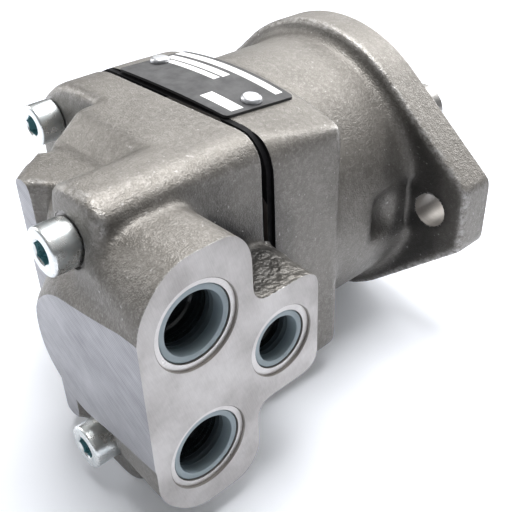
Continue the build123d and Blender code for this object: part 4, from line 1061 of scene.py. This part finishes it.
# %% Screw model
def screw_model(name, shank):
    """Socket head screw with its seat at the origin, its head towards -Y and its shank towards +Y."""
    rim, foot, shank_radius, point = 0.8 * MM, 0.35 * MM, 4 * MM, 0.8 * MM
    inner = head_radius - rim
    profile = [(0, -head_height), (inner, -head_height)]
    for turn in (math.radians(degrees) for degrees in (22, 45, 67, 90)):
        profile.append((inner + rim * math.sin(turn), -head_height + rim - rim * math.cos(turn)))
    profile += [(head_radius, -foot), (head_radius - foot, 0), (shank_radius, 0)]
    profile += [(shank_radius, shank - point), (shank_radius - point, shank), (0, shank)]
    screw = turned(name, profile, (0, 0, 0), along_y)

    key, socket_depth = 6 * MM / math.sqrt(3), 4 * MM
    socket = [(0, -1 * MM), (key, -1 * MM), (key, socket_depth), (0, socket_depth + 1.2 * MM)]
    cut(screw, [turned("socket", socket, (0, -head_height, 0), along_y, 6)])
    above, below = -head_height - 0.1 * MM, -head_height + 0.4 * MM
    chamfer = [(0, above), (3.75 * MM, above), (3.1 * MM, below), (0, below)]
    cut(screw, [turned("socket_rim", chamfer, (0, 0, 0), along_y)])

    centres = table(screw.data.polygons, "center", 3)
    in_socket = (off_axis(centres, (0, 0, 0), along_y) < 3.6 * MM) & (centres[:, 1] < -0.5 * MM)
    in_socket &= centres[:, 1] > -head_height + 0.3 * MM
    marked = screw.data.attributes.new("in_socket", "FLOAT", "FACE")
    marked.data.foreach_set("value", in_socket.astype(float))
    return screw


# %% Zinc finish
zinc, tree, places = new_material("zinc_steel")
marks = placed(tree, handling_marks, places, mark_size=2.5 * MM)
in_socket = stored(tree, "in_socket")
bright = blend_colours(tree, marks["Stain"], (0.64, 0.68, 0.69), (0.77, 0.78, 0.77))
shade(tree, {
    "Base Color": blend_colours(tree, in_socket, bright, (0.30, 0.50, 0.53)),
    "Metallic": spread(tree, in_socket, 0.0, 1.0, 1.0, 0.45),
    "Roughness": spread(tree, marks["Stain"], 0.0, 1.0, 0.31, 0.26),
    "Normal": bump(tree, marks["Scratch"], 0.002 * MM, 0.4),
})

# %% Tree that sets screws on points
setter = bpy.data.node_groups.new("set_screws", "GeometryNodeTree")
settings = {}
for label, kind in (("Geometry", "Geometry"), ("Screw", "Object"), ("Twist", "Float"), ("Seed", "Int"),
                    ("Finish", "Material")):
    socket = setter.interface.new_socket(label, in_out="INPUT", socket_type="NodeSocket" + kind)
    settings[label] = socket.identifier
setter.interface.new_socket("Geometry", in_out="OUTPUT", socket_type="NodeSocketGeometry")
given = setter.nodes.new("NodeGroupInput").outputs
points = setter.nodes.new("GeometryNodeMeshToPoints")
info = setter.nodes.new("GeometryNodeObjectInfo")
chance = setter.nodes.new("FunctionNodeRandomValue")
turn = setter.nodes.new("ShaderNodeCombineXYZ")
put = setter.nodes.new("GeometryNodeInstanceOnPoints")
real = setter.nodes.new("GeometryNodeRealizeInstances")
coat = setter.nodes.new("GeometryNodeSetMaterial")
done = setter.nodes.new("NodeGroupOutput").inputs
wires = [
    (given["Geometry"], points.inputs["Mesh"]),
    (given["Screw"], info.inputs["Object"]),
    (given["Twist"], chance.inputs[3]),
    (given["Seed"], chance.inputs["Seed"]),
    (chance.outputs[1], turn.inputs["Y"]),
    (points.outputs["Points"], put.inputs["Points"]),
    (info.outputs["Geometry"], put.inputs["Instance"]),
    (turn.outputs["Vector"], put.inputs["Rotation"]),
    (put.outputs["Instances"], real.inputs["Geometry"]),
    (real.outputs["Geometry"], coat.inputs["Geometry"]),
    (given["Finish"], coat.inputs["Material"]),
    (coat.outputs["Geometry"], done["Geometry"]),
]
for start, end in wires:
    setter.links.new(start, end)
print("tree that sets screws has", len(setter.nodes), "nodes")


# %% Set the screws
def set_screws(name, seat, shank, side, seed):
    """Two screws on one side of the cap, as one plain mesh."""
    mesh = bpy.data.meshes.new(name)
    mesh.from_pydata([(side * screw_x, seat, z) for z in (-screw_z, screw_z)], [], [])
    screws = add_object(name, mesh)
    model = screw_model(name + "_model", shank)
    setting = screws.modifiers.new("set_screws", "NODES")
    setting.node_group = setter
    for label, value in (("Screw", model), ("Twist", math.radians(60)), ("Seed", seed), ("Finish", zinc)):
        setting[settings[label]] = value
    baked(screws)
    bpy.data.objects.remove(model)
    set_finish(screws, zinc)
    return screws


for name, seat, box, side, seed in (("cap_screws_long", long_seat, long_screws, 1, 4),
                                    ("cap_screws_short", short_seat, short_screws, -1, 9)):
    screws = set_screws(name + "_set", seat, box[1].y - seat, side, seed)
    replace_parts(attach(screws, "motor_body"), name)
    print(name, "has", len(screws.data.polygons), "faces")
